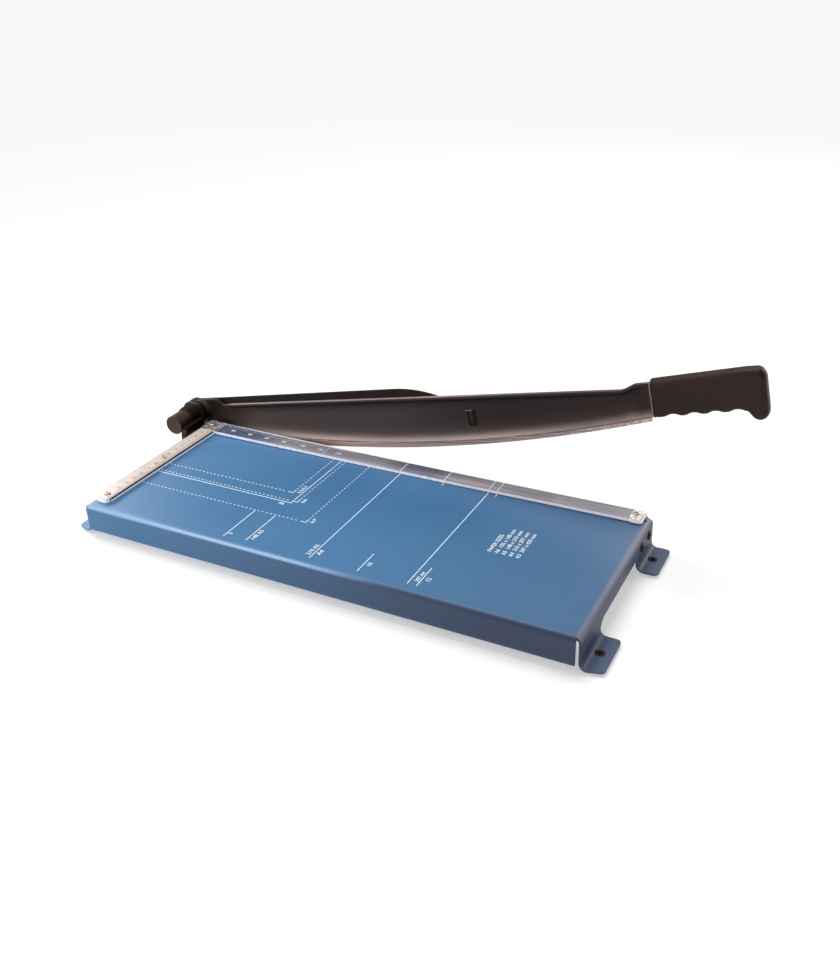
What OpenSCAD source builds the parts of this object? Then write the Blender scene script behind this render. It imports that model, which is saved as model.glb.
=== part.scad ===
// Paper cutter with a lever arm: a folded steel table, a fixed blade along its back edge,
// a stop ruler, a clear guard strip, and a spring-held arm with its own blade and grip.
// The origin is the middle of the four foot holes, on the desk. X runs along the cut.

/* [Table] */
// Length of the table over its two end flanges
table_len = 457; // [400:1:520]
// Reach of the sheet from the middle of the foot holes to the front face
front_reach = 91.5; // [86:0.5:110]
// Reach of the sheet from the middle of the foot holes to the back face
back_reach = 85.5; // [82:0.5:100]
// Height of the top of the table above the desk
table_h = 32; // [30:0.5:40]
// Thickness of the folded sheet
sheet_t = 1.6; // [1.2:0.1:2]
// Outside radius of the bends along the top
bend_r = 4.5; // [3:0.5:5]
// Drop of the front flange below the top
front_drop = 23; // [18:0.5:24]
// Drop of the back flange below the top
back_drop = 22; // [20:0.5:24]
// Drop of an end flange between its two legs
arch_drop = 16; // [14:0.5:20]
// Half width of the arch between two legs
arch_half = 45.5; // [30:0.5:48]
// Radius in the corners of the arch
arch_r = 8; // [4:0.5:8]
// Width of the slits at the four corners
slit_w = 2; // [1.5:0.1:3]
// Depth below the top at which a back slit starts
slit_top = 5; // [4:0.5:8]
// Distance of the front legs from the front face
leg_set = 2.4; // [2.2:0.1:3]
// Radius in the corner of a front slit
slit_r = 1; // [0.5:0.1:1.4]
// Radius of the small locating hole beside the guard
peg_hole_r = 1.3; // [1:0.1:1.6]

/* [Feet] */
// Reach of a foot beyond its end flange
foot_reach = 16.5; // [14:0.5:22]
// Radius of the outer corners of a foot
foot_corner_r = 4; // [2:0.5:5]
// Distance by which the front edge of a front foot runs back towards its outer end
foot_taper = 3.5; // [0:0.5:5]
// Inside radius of the bend between leg and foot
foot_bend_r = 2.4; // [1:0.1:2.5]
// Distance between the front and back foot holes
foot_span_y = 132; // [116:1:140]
// Distance of a foot hole from the face of its end flange
foot_hole_out = 6.6; // [6.6:0.1:8]
// Radius of a foot hole in the sheet
foot_hole_r = 4; // [3:0.1:4]
// Radius of a rubber pad
pad_r = 6; // [5:0.1:6.4]
// Height of a rubber pad under the foot
pad_h = 2.4; // [1.5:0.1:3]
// Radius of the screw hole through a rubber foot
desk_screw_r = 2.1; // [1.5:0.1:2.5]

/* [Guides] */
// Width of the stop ruler
ruler_w = 16; // [12:0.5:20]
// Thickness of the stop ruler
ruler_t = 4; // [3:0.1:5]
// Distance of the ruler from the end of the table
ruler_in = 4.5; // [4.5:0.5:8]
// Distance of the ruler from the front of the table
ruler_front_in = 10; // [6:0.5:20]
// Radius of the front corners of the ruler
ruler_corner_r = 5; // [2:0.5:6]
// Gap between the ruler and the guard
ruler_gap = 0.4; // [0.3:0.1:1]
// Distance of the first ruler screw from the front end of the ruler
ruler_screw_in = 9; // [7:0.5:15]
// Distance between the two ruler screws
ruler_screw_pitch = 75; // [50:1:110]
// Width of the guard strip
guard_w = 16.5; // [14:0.5:22]
// Thickness of the guard strip
guard_t = 2.6; // [2:0.1:3.5]
// Gap for the paper under the guard strip
paper_gap = 1.2; // [0.8:0.1:2]
// Height of the guard's end bosses above the table
guard_boss_h = 4.5; // [4:0.1:6]
// Radius of the guard's right end boss
guard_boss_r = 6.5; // [5.5:0.1:7]
// Distance of the guard's right end from the end of the table
guard_in = 6; // [5.5:0.5:10]
// Radius of the ruler and guard screws
guide_screw_r = 2; // [1.5:0.1:2.5]
// Radius of the heads of the ruler and guard screws
guide_head_r = 2.9; // [2.7:0.1:4]
// Height of the heads of the ruler and guard screws
guide_head_h = 1.2; // [0.8:0.1:2]

/* [Fixed blade] */
// Thickness of the fixed blade
fixed_t = 4; // [3:0.5:6]
// Height of the fixed blade
fixed_h = 22; // [18:0.5:24]
// Distance of the fixed blade from the ends of the table
fixed_in = 6.5; // [6.5:0.5:12]
// Number of fixed blade screws
fixed_screw_count = 5; // [3:1:7]
// Distance of the outer screws from the ends of the fixed blade
fixed_screw_in = 12; // [10:1:20]
// Depth of the fixed blade screws below the top
fixed_screw_drop = 12; // [10:0.5:14]
// Radius of the fixed blade screws and of the end and hinge bolts
bolt_r = 2.5; // [2:0.1:3]
// Radius of the heads of the end and hinge bolts
bolt_head_r = 3.8; // [3.4:0.1:4.2]
// Height of the heads of the end and hinge bolts
bolt_head_h = 1.6; // [1.2:0.1:2.6]
// Radius of the nuts on those bolts, over the corners
bolt_nut_r = 4.6; // [4.2:0.1:5]
// Height of those nuts
bolt_nut_h = 4; // [3:0.1:4.5]

/* [End angle and hinge bracket] */
// Distance of the rear end bolts from the back face of the sheet
end_bolt_in = 10.5; // [9:0.5:12]
// Distance between the two bolts in an end flange
end_bolt_pitch = 20; // [14:0.5:22]
// Depth of the end bolts below the top
end_bolt_drop = 11.5; // [11:0.5:13]
// Thickness of the end angle
angle_t = 3; // [2:0.5:4]
// Height of the end angle
angle_h = 14; // [12:0.5:16]
// Reach of the end angle along the fixed blade
angle_reach = 27; // [24:1:40]
// Thickness of the hinge bracket's plate
plate_t = 5; // [4:0.5:6]
// Length of the hinge bracket's plate
plate_len = 31; // [30:0.5:38]
// Drop of the hinge bracket's plate below the top of the table
plate_drop = 20; // [18:0.5:24]
// Radius of the plate's front corner
plate_corner_r = 8; // [4:0.5:10]

/* [Pivot] */
// Distance of the pivot beyond the end of the table
pivot_out = 16; // [16:0.5:20]
// Height of the pivot above the top of the table
pivot_up = 9; // [9:0.5:14]
// Radius of the bracket's boss
boss_r = 11.1; // [10.8:0.1:12.5]
// Length of the bracket's boss, with its collar
boss_len = 11; // [9:0.5:16]
// Radius of the collar at the front of the boss
collar_r = 10.5; // [9.8:0.1:10.7]
// Length of that collar
collar_len = 5.5; // [3:0.5:6]
// Radius of the pivot bolt's shank
shank_r = 5; // [4.5:0.1:5]
// Radius of the pivot bolt's threaded end
thread_r = 4; // [3.5:0.1:4]
// Wall of the pivot bush
bush_wall = 1.95; // [1.2:0.05:2.2]
// Thickness of the thrust washer and the head washer
washer_t = 1.5; // [1:0.1:2]
// Radius of the two washers
washer_r = 10.5; // [9.5:0.1:10.6]
// Radius of the pivot bolt's head, over the corners
pivot_head_r = 9.2; // [8.5:0.1:9.4]
// Height of the pivot bolt's head
pivot_head_h = 6; // [5:0.5:7]
// Radius of the pivot nut, over the corners
pivot_nut_r = 7.2; // [6.6:0.1:7.4]
// Height of the pivot nut
pivot_nut_h = 5; // [4:0.5:6]
// Radius of the disc springs
disc_r = 6.4; // [6:0.1:6.4]
// Thickness of a disc spring
disc_t = 1; // [0.6:0.1:1.2]
// Dish of a disc spring
disc_dish = 0.4; // [0.2:0.1:0.5]
// Outside radius of the pivot cap
cap_r = 9.5; // [9.4:0.1:11]
// Length of the pivot cap
cap_len = 16.5; // [15:0.5:20]
// Wall of the pivot cap
cap_wall = 1.5; // [1.2:0.1:1.6]
// Length of the spigot that the cap sits on
spigot_len = 2; // [1:0.5:3]

/* [Arm] */
// Angle of the arm above the table at rest
arm_raise = 12; // [0:1:60]
// Distance by which the arm blade stops short of the end of the table
blade_short = 3; // [2.5:0.5:8]
// Height of the rib's top above the pivot, at the hub
rib_up = 5.3; // [4:0.1:7]
// Drop of the rib's top over the length of the blade
rib_drop = 3; // [0:0.1:4]
// Height of the rib
rib_h = 3; // [2:0.5:4]
// Thickness of the arm
arm_t = 4.4; // [4:0.2:6]
// Thickness of the arm's web
web_t = 2.2; // [1.6:0.1:2.6]
// Height of the full-thickness band above the blade
lip_h = 11; // [10.5:0.5:13]
// Radius of the hub
hub_r = 12; // [11:0.1:12.2]
// Reach of the hub in front of the arm blade's face
hub_front = 8; // [5:0.5:10]
// Height of the shoulder above the pivot
shoulder_up = 12.3; // [10.5:0.1:12.4]
// Length of the shoulder from the pivot
shoulder_len = 29; // [24:1:36]
// Radius of the curves at the end of the shoulder
shoulder_r = 4; // [2:0.5:5]
// Height of the neck above the pivot at the grip
neck_up = 7.5; // [6.6:0.1:9]
// Length of the slope that leads up to the neck
neck_slope = 23; // [18:1:30]
// Distance of the window from the end of the blade
window_back = 160; // [100:1:165]
// Width of the window
window_w = 9.4; // [8:0.1:12]
// Height of the window
window_h = 13.4; // [11:0.1:15]
// Depth of the window's middle below the pivot
window_down = 17; // [15:0.1:18]
// Width of the cut around the tongue in the window
window_cut = 1.8; // [1.2:0.1:2.5]

/* [Arm blade] */
// Radius of the blade's edge
edge_r = 1350; // [1250:10:1600]
// Radius of the arm's lower edge, where the blade comes out
lip_r = 1245; // [1200:5:1250]
// Depth of the lowest point of the edge below the pivot
belly_down = 43.6; // [41:0.2:45]
// Distance of the lowest point from the end of the blade
belly_back = 230; // [220:1:250]
// Distance of the start of the blade from the pivot
blade_start = 24; // [20:1:40]
// Height of the blade that shows below the arm at its lowest point
blade_show = 5.2; // [4:0.2:7]
// Thickness of the blade
blade_t = 2.6; // [2.2:0.1:3]
// Height of the tongue inside the arm
tongue_h = 9; // [7:0.5:9.5]
// Thickness of the tongue
tongue_t = 1.4; // [1:0.1:1.6]
// Number of blade screws
blade_screw_count = 6; // [4:1:8]
// Radius of the blade screws
blade_screw_r = 1.6; // [1.2:0.1:2]
// Radius of the heads of the blade screws
blade_screw_head_r = 3; // [2.4:0.1:3.2]
// Distance of the outer blade screws from the ends of the blade
blade_screw_in = 25; // [15:1:40]

/* [Stiffener] */
// Length of the stiffener from the pivot
stiff_len = 290; // [270:1:305]
// Thickness of the stiffener
stiff_t = 2.5; // [2:0.1:3]
// Height of the stiffener above the pivot
stiff_up = 11; // [10.6:0.1:12]
// Depth of the stiffener below the pivot
stiff_down = 18; // [14:0.5:20]
// Length over which the stiffener's end curves down
stiff_taper = 55; // [40:1:65]
// Radius of that curve
stiff_end_r = 120; // [110:5:200]
// Number of stiffener rivets
rivet_count = 4; // [3:1:6]
// Radius of the rivets
rivet_r = 2.4; // [2:0.1:3]
// Radius of the rivet heads
rivet_head_r = 4.4; // [4:0.1:5.5]

/* [Handle] */
// Length of the grip
grip_len = 87.5; // [86:0.5:110]
// Thickness of the grip
grip_t = 14; // [13:0.5:20]
// Reach of the grip in front of the arm blade's face
grip_front = 3; // [2:0.1:3.4]
// Height of the grip's top above the pivot at its collar
grip_up = 9.8; // [8.8:0.2:12]
// Height of the grip's top above the pivot at its end
grip_end_up = 15.8; // [12:0.2:20]
// Depth of the grip's underside below the pivot at its collar
grip_down = 19.2; // [17:0.2:22]
// Depth of the hook below the pivot
hook_down = 23.4; // [22:0.2:28]
// Radius of the hook
hook_r = 6.8; // [5:0.1:7]
// Radius of the grip's upper end corner
grip_corner_r = 7; // [5:0.5:8]
// Radius of the grip's long edges
grip_edge_r = 5.5; // [3:0.5:6]
// Radius of the grip's end, seen from above
grip_end_r = 5; // [3:0.5:6]
// Radius of a finger groove
groove_r = 10; // [8:0.5:12]
// Depth of a finger groove
groove_depth = 2.3; // [1.5:0.1:3]
// Distance between finger grooves
groove_pitch = 16.4; // [15:0.1:16.6]
// Distance of the first finger groove from the collar
groove_in = 15.8; // [13:0.1:16]
// Length of the tang inside the grip
tang_len = 66; // [50:1:70]
// Height of the tang
tang_h = 15; // [10:0.5:18]
// Distance of the handle screw from the collar
handle_screw_in = 38; // [20:1:45]
// Radius of the handle screw
handle_screw_r = 2.5; // [2:0.1:3]
// Radius of the head of the handle screw
handle_screw_head_r = 4.8; // [4:0.1:5.5]

/* [Clearances] */
// Gap between the two blades
blade_gap = 0.3; // [0.2:0.05:0.5]
// Radial gap of a turning fit
run_gap = 0.05; // [0.02:0.01:0.08]
// Radial gap of a screw in its hole
screw_gap = 0.15; // [0.1:0.05:0.3]
// Gap of a piece that slides into another
slide_gap = 0.1; // [0.05:0.05:0.2]
// Distance by which the arm's face stays behind the blade's face
arm_set = 0.4; // [0.3:0.1:0.8]

/* [Hidden] */
$fn = 64;
cut = 1;

// Table
x_end = table_len / 2;
y_front = -front_reach;
y_back = back_reach;
top_in = table_h - sheet_t;
foot_top = pad_h + sheet_t;
leg_low = foot_top + foot_bend_r;
foot_x = x_end + foot_hole_out;
back_in = y_back - sheet_t;
end_in = x_end - sheet_t;

// Guides
ruler_x = -x_end + ruler_in;
ruler_mid = ruler_x + ruler_w / 2;
guard_y = y_back - guard_w;
guard_mid = y_back - guard_w / 2;
guard_end = x_end - guard_in;
guard_boss_x = guard_end - guard_boss_r;
ruler_y = y_front + ruler_front_in;
ruler_end = guard_y - ruler_gap;
ruler_screw_y = [ruler_y + ruler_screw_in, ruler_y + ruler_screw_in + ruler_screw_pitch];
ruler_screw_at = [for (y = ruler_screw_y) [ruler_mid, y]];
guard_screw_at = [[ruler_mid, guard_mid], [guard_boss_x, guard_mid]];
guide_nut_h = 3.2;
guide_nut_r = 4;

// Fixed blade and end fittings
fixed_len = table_len - 2 * fixed_in;
cut_y = y_back + fixed_t;
fixed_screw_z = table_h - fixed_screw_drop;
fixed_screw_span = fixed_len - 2 * fixed_screw_in;
fixed_screw_pitch = fixed_screw_span / (fixed_screw_count - 1);
fixed_screw_x = [for (i = [0:fixed_screw_count - 1]) -fixed_screw_span / 2 + i * fixed_screw_pitch];
fixed_head_r = bolt_r * 1.9;
fixed_head_h = fixed_head_r - bolt_r;
end_bolt_y = [y_back - end_bolt_in, y_back - end_bolt_in - end_bolt_pitch];
end_bolt_z = table_h - end_bolt_drop;
angle_z = end_bolt_z - angle_h / 2;

// Pivot, from the arm's face towards the front
pivot_x = -x_end - pivot_out;
pivot_z = table_h + pivot_up;
arm_y = cut_y + blade_gap;
hub_face = arm_y - hub_front;
boss_far = hub_face - washer_t;
boss_near = boss_far - boss_len;
cap_near = boss_near - cap_len;
bush_r = shank_r + run_gap + bush_wall;
spigot_r = cap_r - cap_wall - run_gap;
disc_pitch = disc_t + disc_dish;
discs = 4;
nut_y = boss_near - discs * disc_pitch;
bolt_end = nut_y - pivot_nut_h - 1.2;

// Arm, measured from the pivot along the arm
arm_back = arm_set + arm_t;
blade_end = pivot_out + table_len - blade_short;
belly_at = blade_end - belly_back;
edge_z = edge_r - belly_down;
lip_z = lip_r - belly_down + blade_show;
pocket_floor = arm_back - web_t;
pocket_start = shoulder_len + 2 * shoulder_r + 4;
pocket_end = blade_end - 8;
window_at = blade_end - window_back;
tongue_set = blade_t - tongue_t;
tongue_seam = slide_gap;
blade_screw_ring = lip_r - tongue_h / 2;
blade_screw_span = blade_end - blade_start - 2 * blade_screw_in;
blade_screw_pitch = blade_screw_span / (blade_screw_count - 1);
blade_screw_x = [for (i = [0:blade_screw_count - 1]) blade_start + blade_screw_in + i * blade_screw_pitch];
stiff_back = arm_back + stiff_t;
rivet_first = 60;
rivet_last = stiff_len - 30;
rivet_pitch = (rivet_last - rivet_first) / (rivet_count - 1);
rivet_x = [for (i = [0:rivet_count - 1]) rivet_first + i * rivet_pitch];
rivet_z = -8;
rivet_head_h = 1.6;
rivet_end = pocket_floor + 0.6;
head_y = stiff_back + washer_t;

// Grip, measured from the pivot along the arm
grip_at = blade_end + 1.5;
grip_slope = atan((grip_end_up - grip_up) / (grip_len - 2 * grip_corner_r));
grip_back = grip_t - grip_front;
grooves = 4;
groove_climb = 0.75;
tang_mid = -1.5;

function lip_ring(r, x) = lip_z - sqrt(r * r - pow(x - belly_at, 2));

function rib_z(x) = rib_up - rib_drop * x / blade_end;

// Block with its two upper corners rounded, drawn from low to high
module crowned(low, high, base, top, r) {
  translate([low, base]) square([high - low, top - base - r]);
  translate([low + r, base]) square([high - low - 2 * r, top - base]);
  translate([low + r, top - r]) circle(r);
  translate([high - r, top - r]) circle(r);
}

// Plate drawn in X and Z, standing from y to y + t
module upright(y, t) {
  translate([0, y + t, 0]) rotate([90, 0, 0]) linear_extrude(t) children();
}

// Bar drawn in Y and Z, running from x to x + len
module along_x(x, len) {
  translate([x, 0, 0]) rotate([90, 0, 90]) linear_extrude(len) children();
}

// Round bar along Y, from y to y + len
module pin_y(r, y, len, sides = 64) {
  translate([0, y, 0]) rotate([-90, 0, 0]) cylinder(r = r, h = len, $fn = sides);
}

// Round bar along X, from x to x + len
module pin_x(r, x, len, sides = 64) {
  translate([x, 0, 0]) rotate([0, 90, 0]) cylinder(r = r, h = len, $fn = sides);
}

// Countersunk head along Y, with its flat at y and its point towards the front
module sunk_head(r, shank, y) {
  translate([0, y, 0]) rotate([90, 0, 0]) cylinder(r1 = r, r2 = shank, h = r - shank);
}

// Moves a shape from the arm's own frame to its rest place
module in_arm() {
  translate([pivot_x, arm_y, pivot_z]) rotate([0, -arm_raise, 0]) children();
}

// Moves a shape to the pivot's axis
module on_pivot() {
  translate([pivot_x, 0, pivot_z]) children();
}

// Table block with rounded upper edges, set in from the outside by a wall
module table_block(wall, base) {
  intersection() {
    upright(y_front + wall, front_reach + back_reach - 2 * wall)
      crowned(-x_end + wall, x_end - wall, base, table_h - wall, bend_r - wall);
    along_x(-x_end + wall, table_len - 2 * wall)
      crowned(y_front + wall, y_back - wall, base, table_h - wall, bend_r - wall);
  }
}

// Bend and foot at the right end of the table, from y1 to y2
module foot(y1, y2, taper) {
  plate = foot_reach - foot_bend_r;
  slope = atan(taper / plate);
  near = (plate - foot_corner_r) * tan(slope) + foot_corner_r / cos(slope);
  far = y2 - y1 - foot_corner_r;
  edge = [foot_corner_r * sin(slope), -foot_corner_r * cos(slope)];
  middle = [plate - foot_corner_r, near];
  upright(y1, y2 - y1) {
    intersection() {
      translate([x_end + foot_bend_r, leg_low]) difference() {
        circle(foot_bend_r + sheet_t);
        circle(foot_bend_r);
      }
      translate([end_in, pad_h]) square([foot_bend_r + sheet_t, foot_bend_r + sheet_t]);
    }
    translate([end_in, leg_low]) square(sheet_t);
  }
  translate([x_end + foot_bend_r, y1, pad_h]) {
    linear_extrude(sheet_t) polygon([
      [0, 0], middle + edge, middle, [plate, near], [plate, far],
      [plate - foot_corner_r, far], [plate - foot_corner_r, y2 - y1], [0, y2 - y1]
    ]);
    translate(middle) cylinder(r = foot_corner_r, h = sheet_t);
    translate([plate - foot_corner_r, far]) cylinder(r = foot_corner_r, h = sheet_t);
  }
}

// Legs' arch and corner slits, cut from the walls of the table
module table_cuts() {
  along_x(-x_end - cut, table_len + 2 * cut)
    crowned(-arch_half, arch_half, leg_low - cut, table_h - arch_drop, arch_r);
  translate([-end_in, y_front - cut, leg_low - cut])
    cube([2 * end_in, sheet_t + 2 * cut, table_h - front_drop - leg_low + cut]);
  translate([-end_in, back_in - cut, leg_low - cut])
    cube([2 * end_in, sheet_t + 2 * cut, table_h - back_drop - leg_low + cut]);
  for (side = [0, 1])
    mirror([side, 0, 0]) {
      translate([0, 0, leg_low - cut]) linear_extrude(table_h)
        crowned(end_in - slit_w, x_end + 2 * slit_w, y_front - cut, y_front + leg_set, slit_r);
      upright(back_in - cut, sheet_t + 2 * cut) translate([end_in - slit_w / 2, 0]) {
        translate([-slit_w / 2, leg_low - cut]) square([slit_w, table_h - slit_top - leg_low + cut]);
        translate([0, table_h - slit_top]) circle(slit_w / 2);
      }
    }
}

module table_holes() {
  for (side = [-1, 1], y = [-foot_span_y / 2, foot_span_y / 2])
    translate([side * foot_x, y, pad_h - cut])
      cylinder(r = foot_hole_r, h = foot_bend_r + sheet_t + 2 * cut);
  for (at = concat(ruler_screw_at, guard_screw_at))
    translate([at[0], at[1], top_in - cut]) cylinder(r = guide_screw_r + screw_gap, h = sheet_t + 2 * cut);
  for (x = fixed_screw_x)
    translate([x, 0, fixed_screw_z]) pin_y(bolt_r + screw_gap, back_in - cut, sheet_t + 2 * cut);
  for (y = end_bolt_y, x = [-x_end - cut, end_in - cut])
    translate([0, y, end_bolt_z]) pin_x(bolt_r + screw_gap, x, sheet_t + 2 * cut);
  translate([x_end - bend_r, guard_mid, top_in - cut]) cylinder(r = peg_hole_r, h = sheet_t + 2 * cut);
}

module table() {
  color("steelblue") difference() {
    union() {
      difference() {
        table_block(0, leg_low);
        table_block(sheet_t, leg_low - cut);
        table_cuts();
      }
      for (side = [0, 1])
        mirror([side, 0, 0]) {
          foot(y_front + leg_set, -arch_half, foot_taper);
          foot(arch_half, y_back, 0);
        }
    }
    table_holes();
  }
}

module rubber_feet() {
  color("dimgray") for (side = [-1, 1], y = [-foot_span_y / 2, foot_span_y / 2])
    translate([side * foot_x, y, 0]) difference() {
      union() {
        cylinder(r = pad_r, h = pad_h);
        cylinder(r = foot_hole_r - slide_gap, h = foot_top);
      }
      translate([0, 0, -cut]) cylinder(r = desk_screw_r, h = foot_top + 2 * cut);
    }
}

module stop_ruler() {
  color("antiquewhite") difference() {
    translate([ruler_x, ruler_y, table_h]) linear_extrude(ruler_t) {
      translate([0, ruler_corner_r]) square([ruler_w, ruler_end - ruler_y - ruler_corner_r]);
      translate([ruler_corner_r, 0]) square([ruler_w - 2 * ruler_corner_r, ruler_corner_r + cut]);
      translate([ruler_corner_r, ruler_corner_r]) circle(ruler_corner_r);
      translate([ruler_w - ruler_corner_r, ruler_corner_r]) circle(ruler_corner_r);
    }
    for (at = ruler_screw_at)
      translate([at[0], at[1], table_h - cut])
        cylinder(r = guide_screw_r + screw_gap, h = ruler_t + 2 * cut);
  }
}

// Screw through the table from a guide whose top is at the height rise
module guide_screw(at, rise) {
  translate([at[0], at[1], table_h + rise]) {
    cylinder(r = guide_head_r, h = guide_head_h);
    translate([0, 0, -rise - sheet_t - guide_nut_h])
      cylinder(r = guide_screw_r, h = rise + sheet_t + guide_nut_h);
  }
}

module ruler_screws() {
  color("silver") for (at = ruler_screw_at) guide_screw(at, ruler_t);
}

// Holes of the guard screws through what lies on the table
module guard_holes() {
  for (at = guard_screw_at)
    translate([at[0], at[1], table_h - cut])
      cylinder(r = guide_screw_r + screw_gap, h = guard_boss_h + 2 * cut);
}

module guard_strip() {
  color("lightcyan", 0.5) difference() {
    translate([0, 0, table_h + paper_gap]) {
      translate([ruler_x, guard_y, 0]) cube([guard_end - ruler_x, guard_w, guard_t]);
      translate([ruler_x, guard_y, 0]) cube([ruler_w, guard_w, guard_boss_h - paper_gap]);
      translate([guard_boss_x, guard_mid, 0]) cylinder(r = guard_boss_r, h = guard_boss_h - paper_gap);
    }
    guard_holes();
  }
}

module guard_spacers() {
  color("lightcyan", 0.5) difference() {
    union() {
      translate([ruler_x, guard_y, table_h]) cube([ruler_w, guard_w, paper_gap]);
      translate([guard_boss_x, guard_mid, table_h]) cylinder(r = guard_boss_r, h = paper_gap);
    }
    guard_holes();
  }
}

module guard_screws() {
  color("silver") for (at = guard_screw_at) guide_screw(at, guard_boss_h);
}

module guide_nuts() {
  color("gray") for (at = concat(ruler_screw_at, guard_screw_at))
    translate([at[0], at[1], top_in - guide_nut_h]) difference() {
      cylinder(r = guide_nut_r, h = guide_nut_h, $fn = 6);
      translate([0, 0, -cut]) cylinder(r = guide_screw_r + run_gap, h = guide_nut_h + 2 * cut);
    }
}

module fixed_blade() {
  color("lightgray") difference() {
    translate([-fixed_len / 2, y_back, table_h - fixed_h]) cube([fixed_len, fixed_t, fixed_h]);
    for (x = fixed_screw_x)
      translate([x, 0, fixed_screw_z]) {
        pin_y(bolt_r + screw_gap, y_back - cut, fixed_t + 2 * cut);
        sunk_head(fixed_head_r + screw_gap, bolt_r, cut_y + run_gap);
      }
  }
}

// Distance of a fixed blade nut's seat from the front: the last screw also holds the end angle
function nut_seat(i) = i == fixed_screw_count - 1 ? back_in - angle_t : back_in;

module fixed_blade_screws() {
  color("gray") for (i = [0:fixed_screw_count - 1])
    translate([fixed_screw_x[i], 0, fixed_screw_z]) {
      sunk_head(fixed_head_r, bolt_r, cut_y - slide_gap);
      pin_y(bolt_r, nut_seat(i) - bolt_nut_h, cut_y - slide_gap - fixed_head_h - nut_seat(i) + bolt_nut_h);
    }
}

module fixed_blade_nuts() {
  color("gray") for (i = [0:fixed_screw_count - 1])
    translate([fixed_screw_x[i], 0, fixed_screw_z]) difference() {
      pin_y(bolt_nut_r, nut_seat(i) - bolt_nut_h, bolt_nut_h, 6);
      pin_y(bolt_r + run_gap, nut_seat(i) - bolt_nut_h - cut, bolt_nut_h + 2 * cut);
    }
}

module end_angle() {
  front = y_back - end_bolt_in - end_bolt_pitch - 1.5 * bolt_nut_r;
  color("slategray") difference() {
    union() {
      translate([end_in - angle_t, front, angle_z]) cube([angle_t, back_in - front, angle_h]);
      translate([end_in - angle_reach, back_in - angle_t, angle_z]) cube([angle_reach, angle_t, angle_h]);
    }
    for (y = end_bolt_y)
      translate([0, y, end_bolt_z]) pin_x(bolt_r + screw_gap, end_in - angle_t - cut, angle_t + 2 * cut);
    translate([fixed_screw_x[fixed_screw_count - 1], 0, fixed_screw_z])
      pin_y(bolt_r + screw_gap, back_in - angle_t - cut, angle_t + 2 * cut);
  }
}

// Round-headed bolt along X: its head sits at x on the side that way points to
module end_bolt(x, way, grip) {
  pin_x(bolt_head_r, way > 0 ? x : x - bolt_head_h, bolt_head_h);
  pin_x(bolt_r, way > 0 ? x - grip - bolt_nut_h : x, grip + bolt_nut_h);
}

module end_bolts() {
  color("black") for (y = end_bolt_y)
    translate([0, y, end_bolt_z]) end_bolt(x_end, 1, sheet_t + angle_t);
}

// Nut on an end or hinge bolt, from x to x + its height
module end_nut(x) {
  difference() {
    pin_x(bolt_nut_r, x, bolt_nut_h, 6);
    pin_x(bolt_r + run_gap, x - cut, bolt_nut_h + 2 * cut);
  }
}

module end_nuts() {
  color("gray") for (y = end_bolt_y)
    translate([0, y, end_bolt_z]) end_nut(end_in - angle_t - bolt_nut_h);
}

// Round step of the boss with the web that ties it to the plate
module boss_step(r, y, len) {
  pin_y(r, y, len);
  translate([0, y, -r]) cube([pivot_out, len, r]);
}

module hinge_bracket() {
  plate_low = table_h - plate_drop;
  color([0.1, 0.1, 0.1]) difference() {
    union() {
      along_x(-x_end - plate_t, plate_t) {
        translate([boss_far - plate_len, plate_low])
          square([plate_len, pivot_z - plate_corner_r - plate_low]);
        translate([boss_far - plate_len + plate_corner_r, plate_low])
          square([plate_len - plate_corner_r, pivot_z - plate_low]);
        translate([boss_far - plate_len + plate_corner_r, pivot_z - plate_corner_r]) circle(plate_corner_r);
      }
      on_pivot() {
        boss_step(collar_r, boss_near, collar_len);
        boss_step(boss_r, boss_near + collar_len, boss_len - collar_len);
        pin_y(spigot_r, boss_near - spigot_len, spigot_len + cut);
      }
    }
    translate([-x_end, boss_far - plate_len - cut, 0])
      cube([pivot_out, plate_len + 2 * cut, pivot_z + 2 * boss_r]);
    on_pivot() pin_y(bush_r + run_gap, boss_near - cut, boss_len + 2 * cut);
    on_pivot() pin_y(disc_r + 2 * slide_gap, boss_near - spigot_len - cut, spigot_len + cut);
    for (y = end_bolt_y)
      translate([0, y, end_bolt_z]) pin_x(bolt_r + screw_gap, -x_end - plate_t - cut, plate_t + 2 * cut);
  }
}

module hinge_bolts() {
  color("black") for (y = end_bolt_y)
    translate([0, y, end_bolt_z]) end_bolt(-x_end - plate_t, -1, plate_t + sheet_t);
}

module hinge_nuts() {
  color("gray") for (y = end_bolt_y)
    translate([0, y, end_bolt_z]) end_nut(-end_in);
}

module pivot_bush() {
  color("peru") on_pivot() difference() {
    pin_y(bush_r, boss_near, boss_len);
    pin_y(shank_r + run_gap, boss_near - cut, boss_len + 2 * cut);
  }
}

module thrust_washer() {
  color("peru") on_pivot() difference() {
    pin_y(washer_r, boss_far, washer_t);
    pin_y(shank_r + run_gap, boss_far - cut, washer_t + 2 * cut);
  }
}

module pivot_cap() {
  color([0.12, 0.11, 0.11]) on_pivot() difference() {
    pin_y(cap_r, cap_near, cap_len);
    pin_y(cap_r - cap_wall, cap_near + cap_wall, cap_len);
  }
}

module pivot_bolt() {
  color("gray") on_pivot() {
    pin_y(shank_r, boss_near, arm_y + head_y - boss_near);
    pin_y(thread_r, bolt_end, boss_near - bolt_end);
    pin_y(pivot_head_r, arm_y + head_y, pivot_head_h, 6);
  }
}

module pivot_washer() {
  color("gray") on_pivot() difference() {
    pin_y(washer_r, arm_y + stiff_back, washer_t);
    pin_y(shank_r + run_gap, arm_y + stiff_back - cut, washer_t + 2 * cut);
  }
}

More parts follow.
